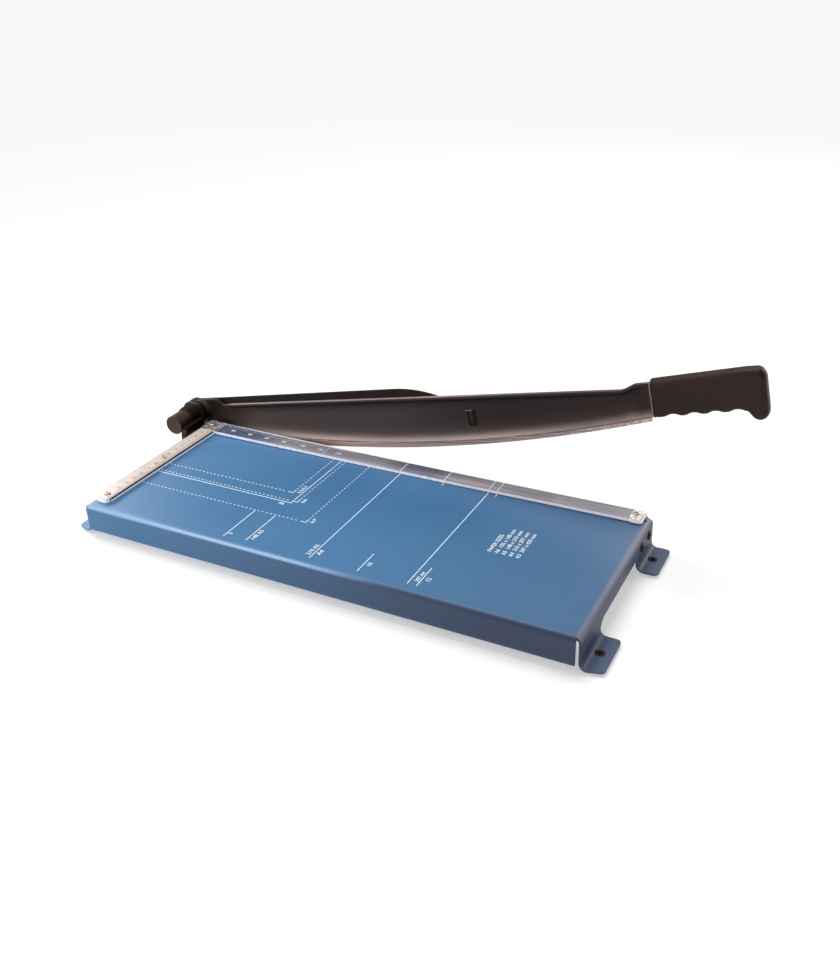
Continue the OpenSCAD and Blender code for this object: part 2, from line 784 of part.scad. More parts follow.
// Dished ring along the pivot, from y towards the front, dished one way or the other
module disc_spring(y, flip) {
  inner = thread_r + 2 * slide_gap;
  low = flip ? disc_dish : 0;
  high = disc_dish - low;
  translate([0, y, 0]) rotate([90, 0, 0]) rotate_extrude()
    polygon([[inner, low], [disc_r, high], [disc_r, high + disc_t], [inner, low + disc_t]]);
}

module disc_springs() {
  color("gray") on_pivot() for (i = [0:discs - 1])
    disc_spring(boss_near - i * disc_pitch, i % 2 == 1);
}

module pivot_nut() {
  color("gray") on_pivot() difference() {
    pin_y(pivot_nut_r, nut_y - pivot_nut_h, pivot_nut_h, 6);
    pin_y(thread_r + run_gap, nut_y - pivot_nut_h - cut, pivot_nut_h + 2 * cut);
  }
}

// Region of the arm's plane above the cutting edge
module within_edge() {
  translate([belly_at, edge_z]) circle(edge_r, $fn = 720);
}

// Region of the arm's plane above its lower edge, or above a line that runs higher
module within_lip(higher) {
  translate([belly_at, lip_z]) circle(lip_r - higher, $fn = 720);
}

// Region between two places along the arm, from well below it up to a line under the rib's top
module under_rib(start, end, lower) {
  base = -2 * belly_down;
  polygon([[start, base], [end, base], [end, rib_z(end) - lower], [start, rib_z(start) - lower]]);
}

// Outline of the arm above the blade
module arm_side() {
  step = shoulder_up - rib_z(shoulder_len);
  neck = blade_end - neck_slope;
  intersection() {
    under_rib(0, grip_at, 0);
    within_lip(0);
  }
  circle(hub_r);
  square([shoulder_len, shoulder_up - shoulder_r]);
  square([shoulder_len - shoulder_r, shoulder_up]);
  translate([shoulder_len - shoulder_r, shoulder_up - shoulder_r]) circle(shoulder_r);
  translate([shoulder_len - cut, rib_z(shoulder_len)]) difference() {
    translate([0, -cut]) square(min(step, shoulder_r) + cut);
    translate([shoulder_r + cut, shoulder_r]) circle(shoulder_r);
  }
  polygon([
    [neck, rib_z(neck)], [neck + neck_slope / 6, rib_z(neck) + (neck_up - rib_z(neck)) / 5],
    [neck + neck_slope / 3, rib_z(neck) + 0.62 * (neck_up - rib_z(neck))],
    [neck + neck_slope / 2, rib_z(neck) + 0.87 * (neck_up - rib_z(neck))],
    [grip_at, neck_up], [grip_at, 0], [neck, 0]
  ]);
}

// Bay in the near face of the arm
module arm_pocket() {
  intersection() {
    under_rib(pocket_start, pocket_end, rib_h);
    within_lip(lip_h);
  }
}

// Window with a tongue that hangs from its top edge
module arm_window() {
  difference() {
    translate([window_at - window_w / 2, -window_down - window_h / 2]) square([window_w, window_h]);
    translate([window_at - window_w / 2 + window_cut, -window_down - window_h / 2 + window_cut])
      square([window_w - 2 * window_cut, window_h]);
  }
}

// Length of the arm that the blade takes up
module blade_span() {
  translate([blade_start, -2 * belly_down]) square([blade_end - blade_start, 2 * belly_down]);
}

// Strip from the cutting edge up to a line above or below the arm's lower edge
module blade_strip(higher) {
  intersection() {
    blade_span();
    difference() {
      within_edge();
      within_lip(higher);
    }
  }
}

module arm() {
  color([0.13, 0.12, 0.12]) in_arm() difference() {
    union() {
      upright(arm_set, arm_t) arm_side();
      pin_y(hub_r, -hub_front, hub_front + arm_set + cut);
      upright(arm_set, arm_t)
        translate([grip_at - cut, tang_mid - tang_h / 2]) square([tang_len + cut, tang_h]);
    }
    upright(arm_set - cut, arm_t - web_t + cut) arm_pocket();
    upright(arm_set - cut, arm_t + 2 * cut) arm_window();
    upright(tongue_set - slide_gap, tongue_t + 2 * slide_gap)
      blade_strip(tongue_h + tongue_seam);
    pin_y(shank_r + run_gap, -hub_front - cut, hub_front + arm_back + 2 * cut);
    for (x = blade_screw_x)
      translate([x, 0, lip_ring(blade_screw_ring, x)]) {
        pin_y(blade_screw_r + screw_gap, tongue_set, arm_back);
        sunk_head(blade_screw_head_r + screw_gap, blade_screw_r, arm_back + run_gap);
      }
    for (x = rivet_x)
      translate([x, 0, rivet_z]) pin_y(rivet_r + run_gap, rivet_end, arm_back - rivet_end + cut);
    translate([grip_at + handle_screw_in, 0, tang_mid]) pin_y(handle_screw_r + screw_gap, 0, arm_back + cut);
  }
}

module arm_stiffener() {
  flat = stiff_len - stiff_taper;
  color([0.1, 0.1, 0.1]) in_arm() difference() {
    upright(arm_back, stiff_t) {
      circle(stiff_up);
      translate([0, -stiff_down]) square([flat, stiff_up + stiff_down]);
      intersection() {
        translate([flat, -stiff_down]) square([stiff_taper, stiff_up + stiff_down]);
        translate([flat, stiff_up - stiff_end_r]) circle(stiff_end_r, $fn = 180);
      }
    }
    pin_y(shank_r + run_gap, arm_back - cut, stiff_t + 2 * cut);
    for (x = rivet_x)
      translate([x, 0, rivet_z]) pin_y(rivet_r + run_gap, arm_back - cut, stiff_t + 2 * cut);
  }
}

module stiffener_rivets() {
  color("gray") in_arm() for (x = rivet_x)
    translate([x, 0, rivet_z]) {
      pin_y(rivet_r, rivet_end, stiff_back - rivet_end + rivet_head_h / 2);
      pin_y(rivet_head_r, stiff_back, rivet_head_h);
    }
}

module arm_blade() {
  color("silver") in_arm() difference() {
    union() {
      upright(0, blade_t) blade_strip(-tongue_seam);
      upright(tongue_set, tongue_t) blade_strip(tongue_h);
    }
    for (x = blade_screw_x)
      translate([x, 0, lip_ring(blade_screw_ring, x)])
        pin_y(blade_screw_r + run_gap, -cut, blade_t + 2 * cut);
  }
}

module blade_screws() {
  color("gray") in_arm() for (x = blade_screw_x)
    translate([x, 0, lip_ring(blade_screw_ring, x)]) {
      pin_y(blade_screw_r, tongue_set, arm_back - tongue_set - blade_screw_head_r + blade_screw_r);
      sunk_head(blade_screw_head_r, blade_screw_r, arm_back - slide_gap / 2);
    }
}

// Grip before its sides and long edges are shaped and its grooves are cut, measured from its collar
module grip_blank() {
  upright(-grip_front - cut, grip_t + 2 * cut) polygon([
    [0, -grip_down], [0, grip_up], [grip_len - 2 * grip_corner_r, grip_end_up],
    [grip_len - grip_corner_r, grip_end_up], [grip_len - grip_corner_r, grip_end_up - grip_corner_r],
    [grip_len, grip_end_up - grip_corner_r], [grip_len, hook_r - hook_down],
    [grip_len - hook_r, hook_r - hook_down], [grip_len - 4 * hook_r, grooves * groove_climb - grip_down]
  ]);
  translate([grip_len - grip_corner_r, 0, grip_end_up - grip_corner_r])
    pin_y(grip_corner_r, -grip_front - cut, grip_t + 2 * cut);
  translate([grip_len - hook_r, 0, hook_r - hook_down]) pin_y(hook_r, -grip_front - cut, grip_t + 2 * cut);
}

module handle_grip() {
  tang = tang_h / 2 + slide_gap;
  color([0.16, 0.13, 0.12]) in_arm() translate([grip_at, 0, 0]) difference() {
    intersection() {
      grip_blank();
      translate([0, 0, grip_up + slide_gap]) rotate([0, -grip_slope, 0]) along_x(-grip_len / 4, 2 * grip_len)
        crowned(-grip_front, grip_back, -3 * grip_down, 0, grip_edge_r);
      translate([0, 0, -2 * hook_down]) rotate([0, 0, -90]) linear_extrude(4 * hook_down)
        crowned(-grip_back, grip_front, -cut, grip_len + slide_gap, grip_end_r);
    }
    for (i = [0:grooves - 1])
      translate([groove_in + i * groove_pitch, 0, -grip_down + i * groove_climb + groove_depth - groove_r])
        pin_y(groove_r, -grip_front - cut, grip_t + 2 * cut);
    upright(arm_set - slide_gap, arm_t + 2 * slide_gap)
      translate([-cut, tang_mid - tang]) square([tang_len + slide_gap + cut, 2 * tang]);
    translate([handle_screw_in, 0, tang_mid]) {
      pin_y(handle_screw_r + run_gap, 0, grip_back + cut);
      sunk_head(handle_screw_head_r + screw_gap, handle_screw_r, grip_back + run_gap);
    }
  }
}

module handle_screw() {
  head = handle_screw_head_r - handle_screw_r;
  color("black") in_arm() translate([grip_at + handle_screw_in, 0, tang_mid]) {
    pin_y(handle_screw_r, 0, grip_back - head - slide_gap);
    sunk_head(handle_screw_head_r, handle_screw_r, grip_back - slide_gap);
  }
}

table();
rubber_feet();
stop_ruler();
ruler_screws();
guard_strip();
guard_spacers();
guard_screws();
guide_nuts();
fixed_blade();
fixed_blade_screws();
fixed_blade_nuts();
end_angle();
end_bolts();
end_nuts();
hinge_bracket();
hinge_bolts();
hinge_nuts();
pivot_bush();
thrust_washer();
pivot_cap();
pivot_bolt();
pivot_washer();
disc_springs();
pivot_nut();
arm();
arm_stiffener();
stiffener_rivets();
arm_blade();
blade_screws();
handle_grip();
handle_screw();
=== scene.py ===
import math

import bmesh
import bpy
from mathutils import Matrix, Vector


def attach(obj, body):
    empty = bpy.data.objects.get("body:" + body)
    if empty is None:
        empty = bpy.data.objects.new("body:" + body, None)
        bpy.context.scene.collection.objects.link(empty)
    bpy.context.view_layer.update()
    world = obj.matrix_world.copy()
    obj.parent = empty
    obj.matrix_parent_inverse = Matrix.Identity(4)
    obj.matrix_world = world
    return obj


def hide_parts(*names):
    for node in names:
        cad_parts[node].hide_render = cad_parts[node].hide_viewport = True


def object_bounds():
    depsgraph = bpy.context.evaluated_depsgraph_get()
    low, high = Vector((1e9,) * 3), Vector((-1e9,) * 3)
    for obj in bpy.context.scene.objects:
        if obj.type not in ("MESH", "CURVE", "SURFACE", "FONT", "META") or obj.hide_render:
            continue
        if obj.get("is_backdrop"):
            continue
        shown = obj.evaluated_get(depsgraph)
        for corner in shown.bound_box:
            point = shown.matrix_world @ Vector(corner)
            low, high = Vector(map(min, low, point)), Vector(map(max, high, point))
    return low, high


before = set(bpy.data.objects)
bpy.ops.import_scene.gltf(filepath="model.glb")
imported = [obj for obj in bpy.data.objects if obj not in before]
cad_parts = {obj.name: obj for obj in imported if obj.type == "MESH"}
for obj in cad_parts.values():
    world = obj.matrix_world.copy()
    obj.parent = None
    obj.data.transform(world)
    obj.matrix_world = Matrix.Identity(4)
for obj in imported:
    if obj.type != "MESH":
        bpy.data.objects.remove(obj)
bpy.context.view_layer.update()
mm = 0.001
hair = 1e-5  # spots nearer than this count as one, in metres
straight, mostly = 0.999, 0.9  # how closely a face points along an axis
print("frame loaded:", len(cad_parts), "nodes")


# one value in a material's node tree; sums and products of values add their own Math nodes
class Wire:
    def __init__(self, tree, socket):
        self.tree, self.socket = tree, socket

    def add(self, kind, settings=None, links=None, out=0):
        node = self.tree.nodes.new("ShaderNode" + kind)
        for key, value in (settings or {}).items():
            setattr(node, key, value)
        for key, value in (links or {}).items():
            self.plug(value, node.inputs[key])
        return Wire(self.tree, node.outputs[out])

    def plug(self, value, socket):
        if isinstance(value, Wire):
            self.tree.links.new(value.socket, socket)
        else:
            socket.default_value = value

    def part(self, name):
        return Wire(self.tree, self.socket.node.outputs[name])

    def sum(self, operation, first, second):
        return self.add("Math", {"operation": operation}, {0: first, 1: second})

    def __add__(self, other):
        return self.sum("ADD", self, other)

    def __sub__(self, other):
        return self.sum("SUBTRACT", self, other)

    def __rsub__(self, other):
        return self.sum("SUBTRACT", other, self)

    def __mul__(self, other):
        return self.sum("MULTIPLY", self, other)

    def __pow__(self, other):
        return self.sum("POWER", self, other)

    __radd__, __rmul__ = __add__, __mul__

    def axes(self):  # its X; Y and Z come through part
        return self.add("SeparateXYZ", None, {"Vector": self})

    def facing(self):  # the way that the surface faces, in the object's own axes
        return self.add("TexCoord", out="Normal").axes()

    def between(self, low, high):  # 0 below low, 1 above high
        return self.add("MapRange", {"interpolation_type": "SMOOTHSTEP"}, {0: self, 1: low, 2: high})

    def mix(self, first, second):  # this value blends from the first colour to the second
        return self.add("Mix", {"data_type": "RGBA"}, {0: self, 6: first, 7: second}, out=2)

    def noise(self, scale, detail=2.0, stretch=(1, 1, 1), turn=(0, 0, 0)):  # turned, then drawn out along each axis
        place = self.add("Mapping", {"vector_type": "TEXTURE"}, {"Vector": self, "Rotation": turn, "Scale": stretch})
        return self.add("TexNoise", None, {"Vector": place, "Scale": scale, "Detail": detail})

    def bump(self, height, strength, distance):
        return self.add("Bump", None, {"Height": height, "Strength": strength, "Distance": distance})


def rgb(red, green, blue):  # a screen colour, 0 to 255, as a scene colour
    def linear(value):
        value /= 255
        return value / 12.92 if value <= 0.04045 else ((value + 0.055) / 1.055) ** 2.4
    return (linear(red), linear(green), linear(blue), 1.0)


sockets = {"colour": "Base Color", "rough": "Roughness", "normal": "Normal", "alpha": "Alpha", "glow": "Emission Color"}


def newFinish(name, fixed):
    material = bpy.data.materials.new(name)
    material.use_nodes = True
    tree = material.node_tree
    shader = tree.nodes["Principled BSDF"]
    for key, value in fixed.items():
        shader.inputs[key].default_value = value
    place = Wire(tree, tree.nodes.new("ShaderNodeTexCoord").outputs["Object"])

    def feed(**links):
        for key, value in links.items():
            place.plug(value, shader.inputs[sockets[key]])
    return material, place, feed


# table: blue powder coat with orange peel and faint rubbing; painted shade on the folded sides and feet, painted
# highlights on the bends
tablePaint = {
    # the slate colours of the sides and feet are painted shade; the pale colours of the bends are painted highlights
    "deep": rgb(50, 103, 148), "light": rgb(57, 110, 155), "scuff": rgb(88, 134, 174), "side": rgb(42, 55, 82),
    "foot": rgb(66, 84, 112), "fade": rgb(60, 94, 128), "frontBendPaintedLight": rgb(158, 192, 230), "endBend": rgb(134, 137, 154),
    "rough": 0.44, "cloud": (0.3, 0.7), "scuffs": (0.62, 0.8),
    # metres along the table, across it and up
    "sideFrom": (-0.2, 0.2), "veilFrom": (0.0, 0.24), "paleFrom": (-0.02, 0.08), "shadeFrom": (0.02, 0.11),
    "sharpFrom": (-0.2, -0.09), "endEdge": (0.19, 0.2265), "frontEdge": (0.081, 0.0885), "endRun": (-0.07, 0.06),
    "top": (0.012, 0.03), "footTop": (0.004, 0.012),
    # how far a face points up, back or outwards
    "flat": (0.45, 0.98), "rising": (0.1, 0.5), "backward": (0.05, 0.3), "turned": (0.05, 0.45),
    "lineFront": (0.28, 0.6), "lineUp": (0.3, 0.65),
}
tableFinish, place, feed = newFinish("tablePaint", {"Specular IOR Level": 0.4})
cloud = place.noise(7, 3).between(*tablePaint["cloud"])
scuffs = place.noise(60, 4, (7, 1, 1), (0, 0, 0.5)).between(*tablePaint["scuffs"])
peel = place.noise(750, 2)
axis, facing = place.axes(), place.facing()
tilt, forward = facing.part("Z"), 0 - facing.part("Y")
high = axis.part("Z").between(*tablePaint["top"])
# painted shade: slate on the folded sides and feet, more of it towards the right end, none on the back
sideShadeMask = (1 - tilt.between(*tablePaint["flat"]) * high) * (0.15 + axis.between(*tablePaint["sideFrom"]) * 0.8)
sideShadeMask = sideShadeMask * (1 - facing.part("Y").between(*tablePaint["backward"]))
bend = tilt.between(*tablePaint["rising"]) * high
# painted highlight along the front bend: a soft band at the left end, then a bright line that dies out towards the
# right
frontEdge = (0 - axis.part("Y")).between(*tablePaint["frontEdge"])
frontBendPaintedLight = (forward.between(*tablePaint["turned"]) * 0.8 + frontEdge * 0.2) * bend
# painted shade on the front bend towards the right
paintedFrontShade = frontBendPaintedLight * axis.between(*tablePaint["shadeFrom"])
sharp = axis.between(*tablePaint["sharpFrom"])
frontHighlightLine = forward.between(*tablePaint["lineFront"]) * tilt.between(*tablePaint["lineUp"]) * high
frontHighlightLine = frontHighlightLine * (1 - axis.between(*tablePaint["paleFrom"]))
frontBendPaintedLight = frontBendPaintedLight * (1 - sharp) * 0.35 + frontHighlightLine * (0.2 + sharp * 0.6)
# painted highlight along the bend at the right end
endHighlightRun = axis.between(*tablePaint["endEdge"]) * axis.part("Y").between(*tablePaint["endRun"])
endBend = (facing.between(*tablePaint["turned"]) * 0.72 + endHighlightRun * 0.28) * bend
blue = (scuffs * 0.12).mix(cloud.mix(tablePaint["deep"], tablePaint["light"]), tablePaint["scuff"])
# painted reflection: a veil of reflected light makes the blue greyer towards the right
blue = (axis.between(*tablePaint["veilFrom"]) * 0.6).mix(blue, tablePaint["fade"])
# the feet take a lighter painted shade than the sides
side = axis.part("Z").between(*tablePaint["footTop"]).mix(tablePaint["foot"], tablePaint["side"])
folded = (paintedFrontShade * 0.6).mix(sideShadeMask.mix(blue, side), tablePaint["side"])
feed(
    colour=(endBend * 0.6).mix(frontBendPaintedLight.mix(folded, tablePaint["frontBendPaintedLight"]), tablePaint["endBend"]),
    rough=tablePaint["rough"] + cloud * 0.05 + scuffs * 0.06 + (peel - 0.5) * 0.06,
    normal=place.bump(peel + place.noise(2600, 1) * 0.3, 0.12, 0.00015),
)

# arm, bracket and stiffener: satin black enamel on rough metal; painted highlights on the arm's rib and lip, painted
# light and shade on its face
armPlace = {"pivot": (-244.5, 89.8, 41.0), "raise": 12.0, "lipRadius": 1340.8, "lipCentre": (250.2, 1301.86)}
armPaint = {
    # the pale rubbed colour is the painted highlight on the rib and the lip; the lighter face has painted shade under
    # the rib, near the hub and towards the grip
    "deep": rgb(28, 22, 20), "dust": rgb(38, 30, 28), "rubbed": rgb(204, 184, 177), "rough": 0.34, "level": 0.3,
    "face": rgb(72, 61, 58), "faceFalloffShade": rgb(42, 30, 29), "faceFade": (0.19, 0.36), "faceFrom": (0.03, 0.075),
    "ribTop": 5.3, "ribFall": 0.0064, "ribFrom": (-0.209, -0.197), "ribFade": (0.24, 0.4), "underRib": (0.003, 0.014),
    "lipWide": (0.0005, 0.012), "lipFade": (0.32, 0.42), "upward": (0.8, 0.97), "toFront": (-0.3, 0.2),
}


def alongArm(axis):  # metres along the arm from its pivot, and up from the pivot
    turn = math.radians(armPlace["raise"])
    x, z = axis.part("X") - armPlace["pivot"][0] * mm, axis.part("Z") - armPlace["pivot"][2] * mm
    return x * math.cos(turn) + z * math.sin(turn), z * math.cos(turn) - x * math.sin(turn)


def armPaintedLight(place, look, colour):  # painted light and shade: lighter over the near face, painted highlights along the rib and the lip
    axis, facing = place.axes(), place.facing()
    along, height = alongArm(axis)
    centreX, centreZ = (c * mm for c in armPlace["lipCentre"])
    aboveLip = armPlace["lipRadius"] * mm - ((along - centreX) ** 2 + (height - centreZ) ** 2) ** 0.5
    belowRib = look["ribTop"] * mm - along * look["ribFall"] - height
    up, near = facing.part("Z").between(*look["upward"]), (0 - facing.part("Y")).between(*look["toFront"])
    specks = place.noise(900, 3).between(0.3, 0.62)
    # the near face is lighter, darker towards the grip as a painted fall-off of light
    face = along.between(*look["faceFade"]).mix(look["face"], look["faceFalloffShade"])
    # painted shade keeps the face dark under the rib and near the hub
    colour = (belowRib.between(*look["underRib"]) * along.between(*look["faceFrom"]) * near).mix(colour, face)
    # painted highlight along the lip, weaker towards the grip
    lip = (1 - aboveLip.between(*look["lipWide"])) ** 3 * (1 - along.between(*look["lipFade"]) * 0.45)
    lip = lip * (0.75 + specks * 0.25) * near
    # painted highlight on the rib's upward faces, weaker towards the grip
    rib = up * axis.between(*look["ribFrom"]) * (1 - along.between(*look["ribFade"]) * 0.7) * (0.25 + specks * 0.5)
    return rib.mix(lip.mix(colour, look["rubbed"]), look["rubbed"])


def blackEnamel(name, look):
    fixed = {"Specular IOR Level": look["level"], "Specular Tint": (1.0, 0.8, 0.74, 1.0)}
    material, place, feed = newFinish(name, fixed)
    grain = place.noise(420, 4)
    dust = place.noise(18, 4).between(0.45, 0.75)
    colour = (dust * 0.5).mix(look["deep"], look["dust"])
    # painted light and shade on the arm's near face
    if "rubbed" in look:
        colour = armPaintedLight(place, look, colour)
    if "plate" in look:  # the plate darkened as painted shade beside a browner collar, and browner again low down
        axis = place.axes()
        plate = (axis.part("Z") + axis.part("Y") * 0.35).between(*look["footTo"]).mix(look["plateFoot"], look["plate"])
        colour = axis.between(*look["plateFrom"]).mix(colour, plate)
    feed(
        colour=colour,
        rough=look["rough"] + dust * 0.1 + (grain - 0.5) * 0.12,
        normal=place.bump(grain + place.noise(1500, 2) * 0.5, 0.16, 0.0002),
    )
    return material


armFinish = blackEnamel("armEnamel", armPaint)
plateFinish = blackEnamel("plateEnamel", {
    "deep": rgb(22, 16, 15), "dust": rgb(31, 24, 23), "rough": 0.48, "level": 0.22,
})
# painted shade for the hollow of the arm's window
recessShadeFinish = blackEnamel("recessShadeEnamel", {
    "deep": rgb(40, 26, 24), "dust": rgb(50, 34, 32), "rough": 0.6, "level": 0.15,
})
bracketFinish = blackEnamel("bracketEnamel", {
    # the near-black plate colour is painted shade
    "deep": rgb(34, 23, 19), "dust": rgb(44, 31, 27), "plate": rgb(17, 12, 11), "plateFoot": rgb(68, 45, 39),
    "plateFrom": (-0.2348, -0.2338), "footTo": (0.056, 0.058), "rough": 0.66, "level": 0.08,
})
# painted shadow for the ruler's groove and the screws' drives
darkFinish, place, feed = newFinish("shadowBlack", {"Specular IOR Level": 0.1})
feed(colour=place.noise(600, 2).mix(rgb(12, 9, 9), rgb(20, 15, 15)), rough=0.7)

# steel, ground along the blades; the arm blade's near face tinted warm as a painted reflection, with painted glints
# near the grip
barLook = {"dark": rgb(128, 124, 121), "bright": rgb(188, 184, 180)}
steelLook = {
    "dark": rgb(152, 124, 117), "bright": rgb(218, 192, 182), "speck": rgb(238, 220, 211), "glintFrom": (0.1, 0.19),
    "turn": -math.radians(12), "back": (barLook["dark"], barLook["bright"]), "behind": (0.1, 0.6),
}


def groundSteel(name, look):
    material, place, feed = newFinish(name, {"Metallic": 0.65, "Specular IOR Level": 0.6})
    lines = place.noise(260, 5, (20, 1, 0.17), (0, look.get("turn", 0.0), 0))
    spots = place.noise(750, 4).between(0.42, 0.7)
    shade = lines.between(0.25, 0.75)
    colour = shade.mix(look["dark"], look["bright"])
    if "back" in look:  # arm blade: painted glints near the grip, plain steel behind
        colour = (spots * place.axes().between(*look["glintFrom"])).mix(colour, look["speck"])
        colour = place.facing().part("Y").between(*look["behind"]).mix(colour, shade.mix(*look["back"]))
    feed(
        colour=colour,
        rough=0.36 + lines * 0.16 + spots * 0.1,
        normal=place.bump(lines + spots * 0.3, 0.14, 0.0001),
    )
    return material


armBladeFinish = groundSteel("armBladeSteel", steelLook)
fixedBladeFinish = groundSteel("fixedBladeSteel", barLook)


# finishes in patches of two shades; a pair of numbers is the least and what the patches add
def patchy(name, look):
    material, place, feed = newFinish(name, look["fixed"])
    patches = place.noise(*look["grain"]).between(*look["patches"])
    colour = patches.mix(*look["shades"])
    if "rightShade" in look:  # another shade towards the right
        colour = place.axes().between(*look["rightFrom"]).mix(colour, look["rightShade"])
    feed(colour=colour, rough=look["rough"][0] + patches * look["rough"][1])
    if "alpha" in look:
        feed(alpha=look["alpha"][0] + patches * look["alpha"][1])
    # an emitting finish glows in its own colour: painted light
    if "Emission Strength" in look["fixed"]:
        feed(glow=colour)
    if "bump" in look:
        scale, strength = look["bump"]
        feed(normal=place.bump(place.noise(scale, 2), strength, 0.0001))
    return material


# screws, nuts and washers
zincFinish = patchy("zincPlate", {
    "fixed": {"Metallic": 1.0}, "grain": (500, 3), "patches": (0.35, 0.65), "rough": (0.28, 0.14), "bump": (2500, 0.08),
    "shades": (rgb(158, 156, 150), rgb(205, 203, 198)),
})
blackBoltFinish = patchy("blackedSteel", {
    "fixed": {"Metallic": 0.5}, "grain": (700, 3), "patches": (0.5, 0.8), "rough": (0.38, 0.12), "bump": (2200, 0.1),
    "shades": (rgb(26, 24, 25), rgb(62, 58, 58)),
})
bronzeFinish = patchy("bronze", {
    "fixed": {"Metallic": 1.0}, "grain": (400, 4), "patches": (0.3, 0.7), "rough": (0.3, 0.12),
    "shades": (rgb(84, 66, 50), rgb(132, 112, 90)),
})

# clear plastic of the guard: a polished body that mirrors more at low angles, hazy in places; the haze's layout along
# the guard is painted reflection
clearLook = {
    "through": (0.86, 0.87, 0.9, 1.0), "mirror": (0.95, 0.95, 0.97, 1.0), "haze": rgb(168, 163, 173),
    "streak": rgb(208, 203, 206), "edge": rgb(246, 246, 252),
    # metres along the guard, and across it for the band
    "band": (0.0826, 0.0834), "bandFrom": (-0.19, -0.15), "bandTo": (-0.075, -0.04), "dipFrom": (-0.03, 0.01),
    "dipTo": (0.03, 0.052), "fogFrom": (-0.165, -0.115), "clearFrom": (0.135, 0.16), "endFrom": (0.19, 0.212),
}
clearFinish, place, feed = newFinish("clearPlastic", {"Specular IOR Level": 0.2})
streaks = place.noise(120, 4, (16, 1, 1)).between(0.45, 0.75)
axis = place.axes()
# painted highlight: a pale band near the back edge over the left part of the strip
backHighlightBand = axis.part("Y").between(*clearLook["band"]) * axis.between(*clearLook["bandFrom"])
backHighlightBand = backHighlightBand * (1 - axis.between(*clearLook["bandTo"]))
hazeColour = backHighlightBand.mix(streaks.mix(clearLook["haze"], clearLook["streak"]), clearLook["edge"])
feed(colour=hazeColour, rough=0.4 + streaks * 0.1)
ripple = place.bump(place.noise(140, 2), 0.04, 0.0001)
dip = axis.between(*clearLook["dipFrom"]) * (1 - axis.between(*clearLook["dipTo"]))
# haze with streaks, its strength along the guard laid out as painted reflection
hazeAndReflection = 0.06 + streaks * 0.1 + axis.between(*clearLook["fogFrom"]) * 0.43 - dip * 0.3 + backHighlightBand * 0.5
hazeAndReflection = hazeAndReflection - axis.between(*clearLook["clearFrom"]) * 0.13 + axis.between(*clearLook["endFrom"]) * 0.25
slant = place.add("LayerWeight", None, {"Blend": 0.5, "Normal": ripple}, out="Facing")
gloss = place.add("BsdfAnisotropic", None, {"Color": clearLook["mirror"], "Roughness": 0.06, "Normal": ripple})
through = place.add("BsdfTransparent", None, {"Color": clearLook["through"]})
nodes = clearFinish.node_tree.nodes
haze = Wire(clearFinish.node_tree, nodes["Principled BSDF"].outputs[0])
polished = place.add("MixShader", None, {0: 0.04 + slant ** 5 * 0.96, 1: through, 2: gloss})
place.plug(place.add("MixShader", None, {0: hazeAndReflection, 1: polished, 2: haze}), nodes["Material Output"].inputs["Surface"])

# the guard's sawn edges, glowing as painted light; its back edge, painted as a reflection of the table; its frosted end
# blocks, the right one's top glowing as painted light
sawnGlowFinish = patchy("glowingSawnEdge", {
    "fixed": {"Coat Weight": 0.3, "Coat Roughness": 0.2, "Emission Strength": 0.42},
    "grain": (900, 3, (1, 1, 5)), "patches": (0.3, 0.7), "rough": (0.3, 0.15), "alpha": (0.84, 0.12),
    "shades": (rgb(214, 216, 228), clearLook["edge"]), "rightShade": rgb(224, 215, 221), "rightFrom": (0.04, 0.08),
})
# the back face painted blue as a painted reflection of the table showing through the strip
backReflectionFinish = patchy("backEdgeReflection", {
    "fixed": {"Coat Weight": 0.4, "Coat Roughness": 0.1},
    "grain": (200, 3, (8, 1, 1)), "patches": (0.35, 0.7), "rough": (0.3, 0.1),
    "shades": (rgb(64, 96, 132), rgb(98, 122, 150)),
})
frostFinish = patchy("frostedPlastic", {
    "fixed": {"Coat Weight": 0.5, "Coat Roughness": 0.1},
    "grain": (420, 4), "patches": (0.5, 0.68), "rough": (0.25, 0.2), "alpha": (0.78, 0.15),
    "shades": (rgb(128, 114, 118), rgb(214, 204, 206)),
})
paleGlowFinish = patchy("glowingPaleFrost", {
    "fixed": {"Coat Weight": 0.4, "Coat Roughness": 0.15, "Emission Strength": 0.2},
    "grain": (420, 4), "patches": (0.42, 0.62), "rough": (0.3, 0.15), "alpha": (0.8, 0.15),
    "shades": (rgb(196, 182, 175), rgb(250, 247, 245)),
})

# cream scale of the ruler, its clear border and the inks
creamFinish = patchy("creamScale", {
    "fixed": {"Coat Weight": 0.3, "Coat Roughness": 0.15},
    "grain": (120, 4), "patches": (0.4, 0.75), "rough": (0.35, 0.1), "bump": (800, 0.05),
    "shades": (rgb(198, 185, 177), rgb(182, 167, 158)),
})
borderFinish = patchy("rulerBorder", {
    "fixed": {"Coat Weight": 0.4, "Transmission Weight": 0.2},
    "grain": (160, 3), "patches": (0.3, 0.7), "rough": (0.22, 0.08), "shades": (rgb(222, 218, 216), rgb(206, 200, 198)),
})
inkFinish = patchy("whiteInk", {
    "fixed": {}, "grain": (700, 4), "patches": (0.62, 0.82), "rough": (0.45, 0.15),
    "shades": (rgb(226, 238, 248), rgb(170, 196, 220)),
})
darkInkFinish = patchy("scaleInk", {
    "fixed": {}, "grain": (900, 3), "patches": (0.5, 0.8), "rough": (0.45, 0.1),
    "shades": (rgb(96, 84, 80), rgb(150, 134, 126)),
})


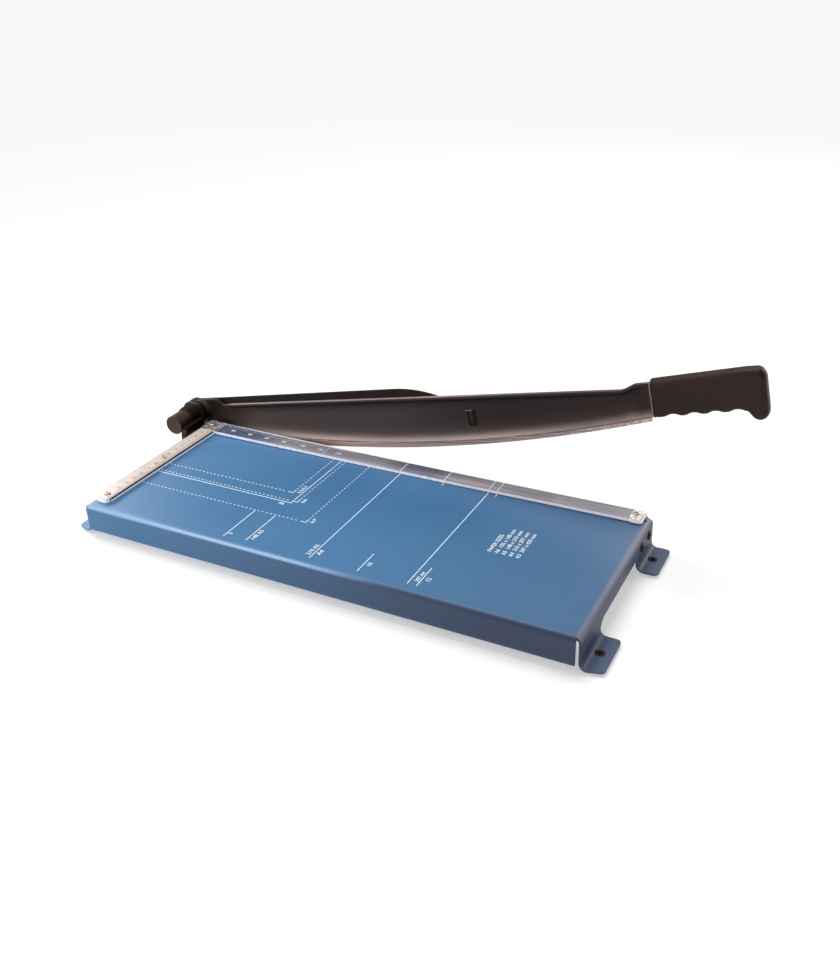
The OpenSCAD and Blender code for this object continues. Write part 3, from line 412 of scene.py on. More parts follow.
# moulded black plastic of the grip and cap
def mouldedPlastic(name, deep, pale, rough):
    material, place, feed = newFinish(name, {"Specular IOR Level": 0.3, "Specular Tint": (1.0, 0.88, 0.84, 1.0)})
    grain = place.noise(900, 3)
    rubbed = place.noise(35, 4).between(0.45, 0.75)
    feed(
        colour=(rubbed * 0.5).mix(deep, pale),
        rough=rough + rubbed * 0.08 + (grain - 0.5) * 0.1,
        normal=place.bump(grain, 0.2, 0.0002),
    )
    return material


gripFinish = mouldedPlastic("gripPlastic", rgb(38, 21, 19), rgb(47, 29, 27), 0.52)
capFinish = mouldedPlastic("capPlastic", rgb(50, 27, 18), rgb(62, 38, 29), 0.48)
# paler plastic as a painted highlight on the cap's rim
capRimHighlightFinish = mouldedPlastic("capRimHighlight", rgb(84, 66, 58), rgb(104, 86, 78), 0.42)
# paler plastic as a painted highlight on the grip's first ring and the window's ledge
rimHighlightFinish = mouldedPlastic("gripRimHighlight", rgb(128, 114, 110), rgb(168, 154, 150), 0.4)
rubberFinish = mouldedPlastic("rubber", rgb(48, 34, 32), rgb(66, 50, 46), 0.7)
finishOf = {
    "blade_steel": fixedBladeFinish, "black_paint": plateFinish, "fastener_steel": zincFinish, "bronze": bronzeFinish,
    "black_steel": blackBoltFinish, "clear_plastic": clearFinish, "rubber": rubberFinish, "cap_plastic": capFinish,
    "ruler_plastic": creamFinish, "grip_plastic": gripFinish, "table_paint": tableFinish,
}
print("finishes made:", len(bpy.data.materials))


# hand work on meshes
def deselect():
    bpy.ops.object.select_all(action="DESELECT")


def settle():  # moves the piece's place into its mesh
    bpy.ops.object.transform_apply(location=True, rotation=True, scale=True)


def hold(piece):
    if bpy.context.object and bpy.context.object.mode != "OBJECT":
        bpy.ops.object.mode_set(mode="OBJECT")
    deselect()
    piece.select_set(True)
    bpy.context.view_layer.objects.active = piece
    return piece


def startEdit(piece):
    hold(piece)
    bpy.ops.object.mode_set(mode="EDIT")
    bpy.ops.mesh.select_mode(type="FACE")
    bpy.ops.mesh.select_all(action="SELECT")


def pick(piece, test):  # picks faces by where they are and the way they point
    mesh = bmesh.from_edit_mesh(piece.data)
    bpy.ops.mesh.select_all(action="DESELECT")
    for face in mesh.faces:
        face.select_set(bool(test(face.calc_center_median(), face.normal)))
    bmesh.update_edit_mesh(piece.data)


def pickEdges(piece, test):  # picks edges by their two ends
    bpy.ops.mesh.select_mode(type="EDGE")
    mesh = bmesh.from_edit_mesh(piece.data)
    bpy.ops.mesh.select_all(action="DESELECT")
    for edge in mesh.edges:
        edge.select_set(bool(test(edge.verts[0].co, edge.verts[1].co)))
    bmesh.update_edit_mesh(piece.data)


def stopEdit():
    bpy.ops.object.mode_set(mode="OBJECT")


def shapeBy(piece, kind, **settings):
    hold(piece)
    modifier = piece.modifiers.new(kind.lower(), kind)
    for key, value in settings.items():
        setattr(modifier, key, value)
    bpy.ops.object.modifier_apply(modifier=modifier.name)


def named(name):
    piece = bpy.context.object
    piece.name = piece.data.name = name
    return piece


def joined(pieces, name):
    hold(pieces[0])
    for piece in pieces[1:]:
        piece.select_set(True)
    if len(pieces) > 1:
        bpy.ops.object.join()
    return named(name)


def seat(piece, body, finishes, stands=(), angle=40):
    hold(piece)
    settle()
    bpy.ops.object.shade_smooth_by_angle(angle=math.radians(angle))
    shapeBy(piece, "WEIGHTED_NORMAL", keep_sharp=True)
    if finishes:
        piece.data.materials.clear()
        for finish in finishes:
            piece.data.materials.append(finish)
    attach(piece, body)
    if stands:
        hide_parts(*stands)
    return piece


def addCube(name, x, y, z):  # a block from its ranges along the three axes
    deselect()
    ranges = (x, y, z)
    middle, size = [(low + high) / 2 * mm for low, high in ranges], [(high - low) * mm for low, high in ranges]
    bpy.ops.mesh.primitive_cube_add(size=1, location=middle, scale=size)
    piece = named(name)
    settle()
    return piece


def addCylinder(name, sides, radius, depth, at, turn=(0, 0, 0)):
    deselect()
    bpy.ops.mesh.primitive_cylinder_add(
        vertices=sides, radius=radius * mm, depth=depth * mm, location=[c * mm for c in at], rotation=turn
    )
    piece = named(name)
    settle()
    return piece


def combine(piece, other, operation):  # joins or cuts with another solid, which is then removed
    shapeBy(piece, "BOOLEAN", object=other, operation=operation, solver="EXACT")
    bpy.data.objects.remove(other)


def repeat(piece, count, offset):
    shapeBy(
        piece, "ARRAY", count=count, use_relative_offset=False, use_constant_offset=True,
        constant_offset_displace=[c * mm for c in offset],
    )
    return piece


def cutAcross(spot, way):
    bpy.ops.mesh.select_all(action="SELECT")
    bpy.ops.mesh.bisect(plane_co=spot, plane_no=way)


def roundEdges(offset, segments):
    bpy.ops.mesh.bevel(offset=offset * mm, segments=segments, affect="EDGES")


def addFinishes(piece, *finishes):
    for finish in finishes:
        piece.data.materials.append(finish)


def assign(piece, index, test):
    pick(piece, test)
    piece.active_material_index = index
    bpy.ops.object.material_slot_assign()


def camel(node):
    first, *rest = node.split("_")
    return first + "".join(word.capitalize() for word in rest)


# a copy of a CAD node with its flat faces joined and its edges rounded
def softCopy(node, body, slot, width, segments=2, name=None, finish=None, reshape=None):
    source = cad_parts[node]
    piece = source.copy()
    piece.data = source.data.copy()
    piece.parent = None
    for key in list(piece.keys()):
        del piece[key]
    bpy.context.scene.collection.objects.link(piece)
    piece.name = piece.data.name = name or camel(node)
    hold(piece)
    bpy.ops.mesh.customdata_custom_splitnormals_clear()
    startEdit(piece)
    bpy.ops.mesh.remove_doubles(threshold=0.00001)
    bpy.ops.mesh.dissolve_limited(angle_limit=math.radians(0.4))
    stopEdit()
    if reshape:
        reshape(piece)
    shapeBy(piece, "BEVEL", width=width * mm, segments=segments, limit_method="ANGLE", angle_limit=math.radians(50))
    return seat(piece, body, [finish or finishOf[slot]], [node], 35)


# closed skin over rings of points, drawn as a grid whose long edges meet
def loft(name, rings):
    count = len(rings[0])
    deselect()
    bpy.ops.mesh.primitive_grid_add(x_subdivisions=count, y_subdivisions=len(rings) - 1, size=1)
    piece = named(name)
    flat = [c * mm for ring in rings for point in [*ring, ring[0]] for c in point]
    piece.data.vertices.foreach_set("co", flat)
    startEdit(piece)
    bpy.ops.mesh.remove_doubles(threshold=0.000001)
    bpy.ops.mesh.select_all(action="DESELECT")
    bpy.ops.mesh.select_mode(type="EDGE")
    bpy.ops.mesh.select_non_manifold()
    bpy.ops.mesh.edge_face_add()
    bpy.ops.mesh.select_all(action="SELECT")
    bpy.ops.mesh.normals_make_consistent(inside=False)
    stopEdit()
    return piece


def step(value, low, high):
    share = min(1.0, max(0.0, (value - low) / (high - low)))
    return share * share * (3 - 2 * share)


# arm, drawn in its own lines: x along it from the pivot, y away from the table, z up
armMatrix = Matrix.Translation([c * mm for c in armPlace["pivot"]])
armMatrix = armMatrix @ Matrix.Rotation(-math.radians(armPlace["raise"]), 4, "Y")
arm = {
    "end": 471.5, "face": 0.4, "back": 4.8, "shoulder": 12.3, "shoulderEnd": (26.5, 38.0), "ribStart": 5.3,
    "ribEnd": 2.3, "bladeEnd": 470.0, "neckFrom": 447.0, "neckRun": 14, "neckUp": 7.5, "edgeRadius": 1350.0,
    "edgeCentre": (240.0, 1306.4), "cove": 3.6, "coveFrom": (30, 62), "coveTo": (448, 466),
    "coveTop": 2.6, "coveBend": 4.2, "rib": 2.2, "lipRound": 0.7,
    "hub": 13.1, "hubFront": -8.0, "hubRound": 2.6, "flare": 2.0, "flareTo": (12, 20),
}


def ribTop(x):
    return arm["ribStart"] + (arm["ribEnd"] - arm["ribStart"]) * x / arm["bladeEnd"]


def armTop(x):
    shoulder = 1 - step(x, *arm["shoulderEnd"])
    neck = step(x, arm["neckFrom"], arm["neckFrom"] + arm["neckRun"])
    rise = arm["neckUp"] - 0.5 + 0.5 * step(x, arm["neckFrom"] + 8, arm["end"])
    return ribTop(x) + shoulder * (arm["shoulder"] - ribTop(x)) + neck * (rise - ribTop(x))


def circleLow(radius, centre, x):
    return centre[1] - math.sqrt(radius ** 2 - (x - centre[0]) ** 2)


def armRing(x):
    top, low = armTop(x), circleLow(armPlace["lipRadius"], armPlace["lipCentre"], x)
    depth = arm["cove"] * step(x, *arm["coveFrom"]) * (1 - step(x, *arm["coveTo"]))
    face, back, upper = arm["face"], arm["back"], top - arm["rib"]
    ring = [(back, low + 0.4), (back, top - 0.5), (back - 0.5, top)]
    ring += [(face + 0.9, top), (face + 0.35, top - 0.2), (face, top - 0.7), (face, upper)]
    ring += [(face + depth * share, upper - down) for share, down in ((0.12, 0.25), (0.55, 0.7), (0.9, 1.6))]
    start, end = upper - arm["coveTop"], low + arm["lipRound"]
    for i in range(15):  # the hollow, running out to the lip
        share = i / 14
        ring.append((face + depth * (1 - share ** arm["coveBend"]), start + (end - start) * share))
    ring += [(face + arm["lipRound"], low), (back - 0.4, low)]
    points = []
    for y, z in ring:  # the near face flares towards the hub
        flare = arm["flare"] * (1 - step(math.hypot(x, z), *arm["flareTo"])) if y < 2 else 0.0
        points.append((x, y - flare, z))
    return points


stations = [i * 1.5 for i in range(30)] + [45 + i * 5 for i in range(80)]
stations += [445 + i * 1.2 for i in range(22)] + [arm["end"]]
armPiece = loft("armCasting", [armRing(x) for x in stations])
hubDepth, hubMiddle = arm["back"] - arm["hubFront"], (arm["back"] + arm["hubFront"]) / 2
hub = addCylinder("armHub", 64, arm["hub"], hubDepth, (0, hubMiddle, 0), (math.pi / 2, 0, 0))
startEdit(hub)
pick(hub, lambda at, way: way.y < -mostly)
roundEdges(arm["hubRound"], 6)
stopEdit()
combine(armPiece, hub, "UNION")

# window in the arm, with a tongue and a ledge in it; its hollow is painted with shade and the ledge's front with a
# highlight
window = {
    "recess": ((305.6, 314.4), (-10.0, 4.4), (-25.2, -11.0)), "tab": ((307.6, 310.9), (3.8, 4.6), (-22.8, -10.7)),
    "ledge": ((304.6, 311.6), (2.9, 4.6), (-11.1, -10.3)), "wallFrom": 3.6,
}
for name, operation in (("recess", "DIFFERENCE"), ("tab", "UNION"), ("ledge", "UNION")):
    combine(armPiece, addCube(name, *window[name]), operation)
armPiece.data.materials.clear()
addFinishes(armPiece, armFinish, recessShadeFinish, rimHighlightFinish)
startEdit(armPiece)
assign(armPiece, 0, lambda at, way: True)
(left, right), (_, deep), (low, high) = ([c * mm for c in pair] for pair in window["recess"])
wall, ledgeFront = window["wallFrom"] * mm, window["ledge"][1][0] * mm
# painted shade on the floor and walls of the window's hollow
assign(armPiece, 1, lambda at, way: (
    left - hair < at.x < right + hair and low - hair < at.z < high + hair
    and (abs(at.y - deep) < hair or (abs(way.y) < 0.3 and at.y > wall))
))
# painted highlight on the front of the window's ledge
assign(armPiece, 2, lambda at, way: abs(at.y - ledgeFront) < hair and abs(at.z - high) < mm)
stopEdit()
armPiece.data.transform(armMatrix)
seat(armPiece, "arm", None, ["arm"], 38)
print("arm made:", len(armPiece.data.polygons), "faces")

# arm blade, ground to its edge on the far side
armBlade = {"start": 24.0, "end": 470.0, "thick": 2.6, "seam": 0.15, "grind": 3.6}


def bladeRing(x):
    top = circleLow(armPlace["lipRadius"], armPlace["lipCentre"], x) - armBlade["seam"]
    low = circleLow(arm["edgeRadius"], arm["edgeCentre"], x)
    grind = min(armBlade["grind"], (top - low) * 0.7)
    thick = armBlade["thick"]
    ring = [(0.15, top), (0, top - 0.15), (0, low), (0.2, low), (thick, low + grind), (thick, top)]
    return [(x, y, z) for y, z in ring]


bladeSpan = armBlade["end"] - armBlade["start"]
bladePiece = loft("armBladeStrip", [bladeRing(armBlade["start"] + bladeSpan * i / 90) for i in range(91)])
bladePiece.data.transform(armMatrix)
seat(bladePiece, "arm", [armBladeFinish], ["arm_blade"], 20)

# grip: moulded, with four finger grooves and a hook at its end
grip = {
    "at": 471.5, "length": 87.5, "front": -3.0, "back": 11.0, "up": 9.8, "endUp": 15.8, "down": -21.0, "corner": 7.0,
    "hook": 6.8, "hookDown": -25.2, "groove": 10.0, "grooveDepth": 2.7, "grooveFrom": 15.8, "groovePitch": 16.4,
    "climb": 0.75, "topRound": 5.5, "lowRound": 4.0, "endRound": 5.0, "rim": 1.2, "soften": 1.6,
    "start": 0.7, "ringAt": 2.3, "ringWide": 0.35, "ringDeep": 0.4,
}


def gripTop(s):
    flat = grip["length"] - 2 * grip["corner"]
    line = grip["up"] + (grip["endUp"] - grip["up"]) * min(1.0, s / flat)
    past = max(0.0, s - grip["length"] + grip["corner"])
    return line - grip["corner"] + math.sqrt(max(0.0, grip["corner"] ** 2 - past ** 2))


def gripLowSharp(s):
    knuckle = grip["length"] - 4 * grip["hook"]
    hookX, hookZ = grip["length"] - grip["hook"], grip["hookDown"] + grip["hook"]
    line = grip["down"] + 4 * grip["climb"] * min(1.0, s / knuckle)
    low = line
    if abs(s - hookX) <= grip["hook"]:
        low = min(low if s < hookX else 99.0, hookZ - math.sqrt(grip["hook"] ** 2 - (s - hookX) ** 2))
    for i in range(4):
        middle = grip["grooveFrom"] + i * grip["groovePitch"]
        if abs(s - middle) < grip["groove"]:
            crest = grip["down"] + i * grip["climb"] + grip["grooveDepth"] - grip["groove"]
            arc = crest + math.sqrt(grip["groove"] ** 2 - (s - middle) ** 2)
            low = max(low, arc) if s < hookX else low
    return low


def gripLow(s):
    if s > grip["length"] - grip["hook"]:
        return gripLowSharp(s)
    reach = grip["soften"] * min(1.0, s / 4, (grip["length"] - grip["hook"] - s) / 3)
    return sum(gripLowSharp(max(0.0, s + reach * (i - 4) / 4)) for i in range(9)) / 9


def gripRing(s):
    top, low = gripTop(s), gripLow(s)
    middle, half = (grip["front"] + grip["back"]) / 2, (grip["back"] - grip["front"]) / 2
    past = max(0.0, s - grip["length"] + grip["endRound"])
    half -= grip["endRound"] - math.sqrt(max(0.0, grip["endRound"] ** 2 - past ** 2))
    tuck = grip["start"] * (1 - min(1.0, s / grip["start"])) ** 2  # rounded start, then a thin ring
    tuck += grip["ringDeep"] * math.exp(-((s - grip["ringAt"]) / grip["ringWide"]) ** 2)
    half, top, low = half - tuck, top - tuck, low + tuck
    upper, lower = min(grip["topRound"], half * 0.98), min(grip["lowRound"], half * 0.98)
    ring = []
    for side, up, radius, first in ((1, -1, lower, -90), (1, 1, upper, 0), (-1, 1, upper, 90), (-1, -1, lower, 180)):
        edge = top if up > 0 else low
        for i in range(8):
            turn = math.radians(first + 90 * i / 7)
            ring.append((
                grip["at"] + s,
                middle + side * (half - radius) + radius * math.cos(turn),
                edge - up * radius + radius * math.sin(turn),
            ))
    return ring


hookFrom = grip["length"] - grip["hook"]
gripStations = [0, 0.15, 0.35, 0.7] + [1 + i * 0.2 for i in range(14)] + [4 + i * 0.8 for i in range(96)]
gripStations += [hookFrom + grip["hook"] * math.sin(math.pi / 2 * i / 24) for i in range(25)]
gripPiece = loft("mouldedGrip", [gripRing(s) for s in gripStations])
handleScrew = {"at": (509.5, 10.9, -1.5), "seatHead": 5.45, "seatShank": 2.4, "seatDeep": 3.05}
deselect()
bpy.ops.mesh.primitive_cone_add(
    vertices=48, radius1=handleScrew["seatShank"] * mm, radius2=handleScrew["seatHead"] * mm,
    depth=handleScrew["seatDeep"] * mm, rotation=(-math.pi / 2, 0, 0),
    location=(handleScrew["at"][0] * mm, (grip["back"] - 1.0) * mm, handleScrew["at"][2] * mm),
)
combine(gripPiece, named("screwSeat"), "DIFFERENCE")
addFinishes(gripPiece, gripFinish, rimHighlightFinish)
startEdit(gripPiece)
# painted highlight on the grip's first ring
assign(gripPiece, 1, lambda at, way: at.x < (grip["at"] + grip["rim"]) * mm)
stopEdit()
gripPiece.data.transform(armMatrix)
seat(gripPiece, "arm", None, ["handle_grip"], 40)
print("grip made:", len(gripPiece.data.polygons), "faces")

# what keeps the CAD shape gets softened edges
# folded table: wider bends at the feet and the ends, a tight one at the cut edge, a deeper front flange
fold = {
    "end": 228.5, "inner": 2.4, "wide": 5.2, "sheet": 1.6, "cuts": (3.0, 3.6, 4.4, 5.2),
    "front": -89.6, "frontEnd": 226.2, "deeper": 1.4, "edge": 4.0,
    "cutEdge": (85.5, 32.0), "bend": 4.5, "tight": 1.1, "flatEnd": 224.05, "rim": 7.0, "rimCuts": (5.2, 6.0, 7.0),
}


def deepenFront(piece):
    front = [v for v in piece.data.vertices if v.co.y < fold["front"] * mm and abs(v.co.x) < fold["frontEnd"] * mm]
    low = min(v.co.z for v in front) + fold["edge"] * mm
    for vertex in front:
        vertex.co.z -= fold["deeper"] * mm if vertex.co.z < low else 0


def closeCutEdge(vertex):
    (edgeY, edgeZ), bend, tight = fold["cutEdge"], fold["bend"], fold["tight"]
    y, z = vertex.co.y / mm - edgeY + bend, vertex.co.z / mm - edgeZ + bend
    if y >= -0.001 and z >= -0.001 and abs(vertex.co.x) < fold["flatEnd"] * mm:
        reach, turn = max(math.hypot(y, z) - bend + tight, 0.1), math.atan2(z, y)
        vertex.co.y = (edgeY - tight + reach * math.cos(turn)) * mm
        vertex.co.z = (edgeZ - tight + reach * math.sin(turn)) * mm


def openFoot(vertex, footTop):
    inner, wide = fold["inner"], fold["wide"]
    first, last = math.asin(1 - inner / wide), math.acos(1 - inner / wide)
    x, z = abs(vertex.co.x) / mm - fold["end"], (vertex.co.z - footTop) / mm
    if x < -2 or x > wide or z > wide:
        return
    if x < inner and z < inner:  # old bend
        reach = math.hypot(x - inner, z - inner) + wide - inner
        turn = first + (last - first) * math.atan2(inner - z, inner - x) / (math.pi / 2)
        x, z = wide - reach * math.cos(turn), wide - reach * math.sin(turn)
    elif z < 0.01:
        z = wide - math.sqrt((wide - z) ** 2 - (wide - x) ** 2)
    elif x < 0.01:
        x = wide - math.sqrt((wide - x) ** 2 - (wide - z) ** 2)
    vertex.co.x, vertex.co.z = math.copysign(x + fold["end"], vertex.co.x) * mm, z * mm + footTop


def openEnd(vertex):
    rim, bend, edgeZ = fold["rim"], fold["bend"], fold["cutEdge"][1]
    first, last = math.asin(1 - bend / rim), math.acos(1 - bend / rim)
    x, z = fold["end"] - abs(vertex.co.x) / mm, edgeZ - vertex.co.z / mm
    if not (-0.01 < x < rim and -0.01 < z < rim):
        return
    deep, core = fold["sheet"] + 0.01, math.hypot(bend - x, bend - z)
    if x < bend and z < bend and core > bend - deep:  # old bend
        reach = core + rim - bend
        turn = first + (last - first) * math.atan2(bend - z, bend - x) / (math.pi / 2)
    elif z < deep:
        reach, turn = rim - z, last + (math.pi / 2 - last) * (x - bend) / (rim - bend)
    elif x < deep:
        reach, turn = rim - x, first * (rim - z) / (rim - bend)
    else:  # ends of the front and back flanges
        z += (rim - math.sqrt(rim ** 2 - (rim - x) ** 2)) * (rim - z) / (rim - deep)
        reach, turn = math.hypot(rim - x, rim - z), math.atan2(rim - z, rim - x)
    x, z = rim - reach * math.cos(turn), rim - reach * math.sin(turn)
    vertex.co.x, vertex.co.z = math.copysign(fold["end"] - x, vertex.co.x) * mm, (edgeZ - z) * mm


def refold(piece):
    footTop = min(v.co.z for v in piece.data.vertices) + fold["sheet"] * mm
    cuts = [(fold["end"] + cut, footTop + cut * mm) for cut in fold["cuts"]]
    cuts += [(fold["end"] - cut, (fold["cutEdge"][1] - cut) * mm) for cut in fold["rimCuts"]]
    startEdit(piece)
    for x, z in cuts:
        for side in (-x, x):
            cutAcross((side * mm, 0, 0), (1, 0, 0))
        cutAcross((0, 0, z), (0, 0, 1))
    stopEdit()
    deepenFront(piece)
    for vertex in piece.data.vertices:
        closeCutEdge(vertex)
        openFoot(vertex, footTop)
    for vertex in piece.data.vertices:
        openEnd(vertex)


softCopy("table", "base", "table_paint", 0.3, name="foldedTable", reshape=refold)
bracketPiece = softCopy("hinge_bracket", "base", "black_paint", 0.5, 3, finish=bracketFinish)
softened = (  # node, body, slot, width and segments of the rounded edges
    ("arm_stiffener", "arm", "black_paint", 0.4, 2), ("fixed_blade", "base", "blade_steel", 0.25, 2),
    ("rubber_feet", "base", "rubber", 0.5, 3), ("guide_nuts", "base", "fastener_steel", 0.45, 2),
    ("fixed_blade_nuts", "base", "fastener_steel", 0.45, 2), ("end_nuts", "base", "fastener_steel", 0.45, 2),
    ("hinge_nuts", "base", "fastener_steel", 0.45, 2), ("pivot_nut", "arm", "fastener_steel", 0.45, 2),
    ("pivot_bolt", "arm", "fastener_steel", 0.6, 3), ("pivot_washer", "arm", "fastener_steel", 0.3, 2),
    ("thrust_washer", "base", "bronze", 0.3, 2), ("end_angle", "base", "fastener_steel", 0.4, 2),
)
for row in softened:
    softCopy(*row)
collar = {"y": (68.8, 69.85), "radius": 11.8, "back": 2.0}  # stands a little further back behind the cap
pivotX, _, pivotZ = (c * mm for c in armPlace["pivot"])
startEdit(bracketPiece)
pick(bracketPiece, lambda at, way: (
    collar["y"][0] * mm < at.y < collar["y"][1] * mm
    and math.hypot(at.x - pivotX, at.z - pivotZ) < collar["radius"] * mm
))
bpy.ops.transform.translate(value=(0, collar["back"] * mm, 0))
stopEdit()
print("soft copies made")

# pivot cap: a turned plug with a rounded rim, lighter as a painted highlight, and a shallow dish
cap = {"y": (52.8, 71.4), "radius": 9.5, "rim": 0.7, "border": 0.5, "dish": 0.35, "slope": 0.5}
capAt = (armPlace["pivot"][0], sum(cap["y"]) / 2, armPlace["pivot"][2])
capPiece = addCylinder("pivotCap", 72, cap["radius"], cap["y"][1] - cap["y"][0], capAt, (math.pi / 2, 0, 0))
startEdit(capPiece)
pick(capPiece, lambda at, way: way.y < -mostly)
roundEdges(cap["rim"], 4)
pick(capPiece, lambda at, way: way.y < -straight)
bpy.ops.mesh.inset(thickness=cap["border"] * mm)
bpy.ops.mesh.inset(thickness=cap["slope"] * mm, depth=-cap["dish"] * mm)
addFinishes(capPiece, capFinish, capRimHighlightFinish)
# painted highlight on the rounded rim
assign(capPiece, 1, lambda at, way: (
    -0.995 < way.y < -0.5 and at.y > cap["y"][0] * mm + hair
    and math.hypot(at.x - pivotX, at.z - pivotZ) < (cap["radius"] - cap["rim"]) * mm
))
stopEdit()
seat(capPiece, "base", None, ["pivot_cap"], 30)

# stop ruler: a pale strip with a cream scale on it, a groove along the paper side painted with shadow, and edges that
# glow as painted light
ruler = {
    "x": (-224.0, -208.0), "y": (-81.5, 68.6), "z": (32.0, 36.0), "corner": 5.0, "chamfer": 0.5, "line": 0.5,
    "ring": 0.3, "sink": 0.12, "step": 0.05, "groove": ((-208.6, -206.0), (-77.0, 70.0), (33.8, 35.4)),
}
rulerPiece = addCube("stopRuler", ruler["x"], ruler["y"], ruler["z"])
startEdit(rulerPiece)
front, topZ, sink = ruler["y"][0] * mm, ruler["z"][1] * mm, ruler["sink"] * mm
pickEdges(rulerPiece, lambda a, b: abs(a.z - b.z) > mm and a.y < front + hair)
roundEdges(ruler["corner"], 8)
bpy.ops.mesh.select_mode(type="FACE")
pick(rulerPiece, lambda at, way: way.z > mostly)
roundEdges(ruler["chamfer"], 2)
addFinishes(rulerPiece, borderFinish, creamFinish, darkInkFinish, darkFinish, sawnGlowFinish)
pick(rulerPiece, lambda at, way: way.z > straight)
for wide, depth in ((ruler["line"], 0), (ruler["step"], -sink), (ruler["ring"], 0), (ruler["step"], sink)):
    bpy.ops.mesh.inset(thickness=wide * mm, depth=depth)
# painted shadow: the shallow ring around the cream scale in the dark ink
assign(rulerPiece, 2, lambda at, way: way.z > mostly and topZ - sink * 1.2 < at.z < topZ - sink * 0.8)
middleX = sum(ruler["x"]) / 2 * mm
assign(rulerPiece, 1, lambda at, way: (
    way.z > straight and abs(at.x - middleX) < mm and abs(at.z - topZ) < hair
))
stopEdit()
combine(rulerPiece, addCube("rulerGroove", *ruler["groove"]), "DIFFERENCE")
(grooveX, _), _, (grooveLow, grooveHigh) = ruler["groove"]
startEdit(rulerPiece)
# painted shadow in the groove
assign(rulerPiece, 3, lambda at, way: (
    grooveX - 0.05 < at.x / mm < grooveX + 0.5 and grooveLow - 0.1 < at.z / mm < grooveHigh + 0.05
))
paperSide = (ruler["x"][1] - 0.05) * mm
# painted glow on the paper side and the front end
assign(rulerPiece, 4, lambda at, way: (
    (way.x > 0.5 and at.x > paperSide or way.y < -0.3) and abs(way.z) < 0.2
))
stopEdit()
seat(rulerPiece, "base", None, ["stop_ruler"], 30)

# guard: clear strip with sawn edges that glow as painted light, a raised block at each end
guard = {
    "x": (-207.8, 222.5), "y": (67.0, 85.5), "z": (33.2, 35.8), "top": 36.5, "block": ((-224.0, -207.4), (69.0, 85.5)),
    "endBlock": ((212.4, 223.3), (68.2, 84.0)), "corner": 2.6, "edge": 0.45, "line": 0.8, "backLine": 1.1, "cuts": 18,
    "taper": (2.0, 150.0, 350.0), "sag": 0.8, "free": 208.0,
}
guardPiece = addCube("guardStrip", guard["x"], guard["y"], guard["z"])
startEdit(guardPiece)
guardLeft, guardRight = guard["x"]
for i in range(1, guard["cuts"]):
    cutAcross(((guardLeft + (guardRight - guardLeft) * i / guard["cuts"]) * mm, 0, 0), (1, 0, 0))
stopEdit()
taper, taperEnd, taperRun = guard["taper"]
for vertex in guardPiece.data.vertices:
    if vertex.co.y < guard["block"][1][0] * mm:  # front edge
        vertex.co.y += taper * (1 - min(max((taperEnd - vertex.co.x / mm) / taperRun, 0), 1)) * mm
blockZ = (guard["z"][0], guard["top"])
block = addCube("guardBlock", *guard["block"], blockZ)
endBlock = addCube("guardEnd", *guard["endBlock"], blockZ)
startEdit(endBlock)
pickEdges(endBlock, lambda a, b: abs(a.z - b.z) > mm)
roundEdges(guard["corner"], 6)
stopEdit()
for extra in (block, endBlock):
    combine(guardPiece, extra, "UNION")
shapeBy(guardPiece, "BEVEL", width=guard["edge"] * mm, segments=2, limit_method="ANGLE", angle_limit=math.radians(50))
addFinishes(guardPiece, clearFinish, sawnGlowFinish, frostFinish, paleGlowFinish, backReflectionFinish)
startEdit(guardPiece)
backLine, stripTop = (guard["y"][1] - guard["backLine"]) * mm, guard["z"][1] * mm
blockEnd, endFrom = guard["block"][0][1] * mm, guard["endBlock"][0][0] * mm
pick(guardPiece, lambda at, way: way.z > straight and abs(at.z - stripTop) < hair)
bpy.ops.mesh.inset(thickness=guard["line"] * mm)
# painted glow on the sawn edges and along the back of the top
assign(guardPiece, 1, lambda at, way: (
    (abs(way.z) < 0.8 and way.y < 0.5) or (way.z > 0.3 and at.y > backLine)
))
# painted reflection of the table on the back face
assign(guardPiece, 4, lambda at, way: way.y > 0.8)
assign(guardPiece, 2, lambda at, way: at.x < blockEnd - 0.6 * mm)
# painted glow on the top of the right end block
assign(guardPiece, 3, lambda at, way: at.x > endFrom and at.z > stripTop + 0.2 * mm)
stopEdit()


def sagged(piece):  # the strip hangs a little between its two screws
    for vertex in piece.data.vertices:
        vertex.co.z -= guard["sag"] * max(1 - (vertex.co.x / mm / guard["free"]) ** 2, 0) * mm
    return piece


sagged(guardPiece)
seat(guardPiece, "base", None, ["guard_strip"], 30)
print("guides made")


# screws, drawn with the head's seat at the origin and the shank below, then copied to their places
driveBars = {"cross": ((1, 0.26), (0.26, 1)), "slot": ((1, 0.2),)}


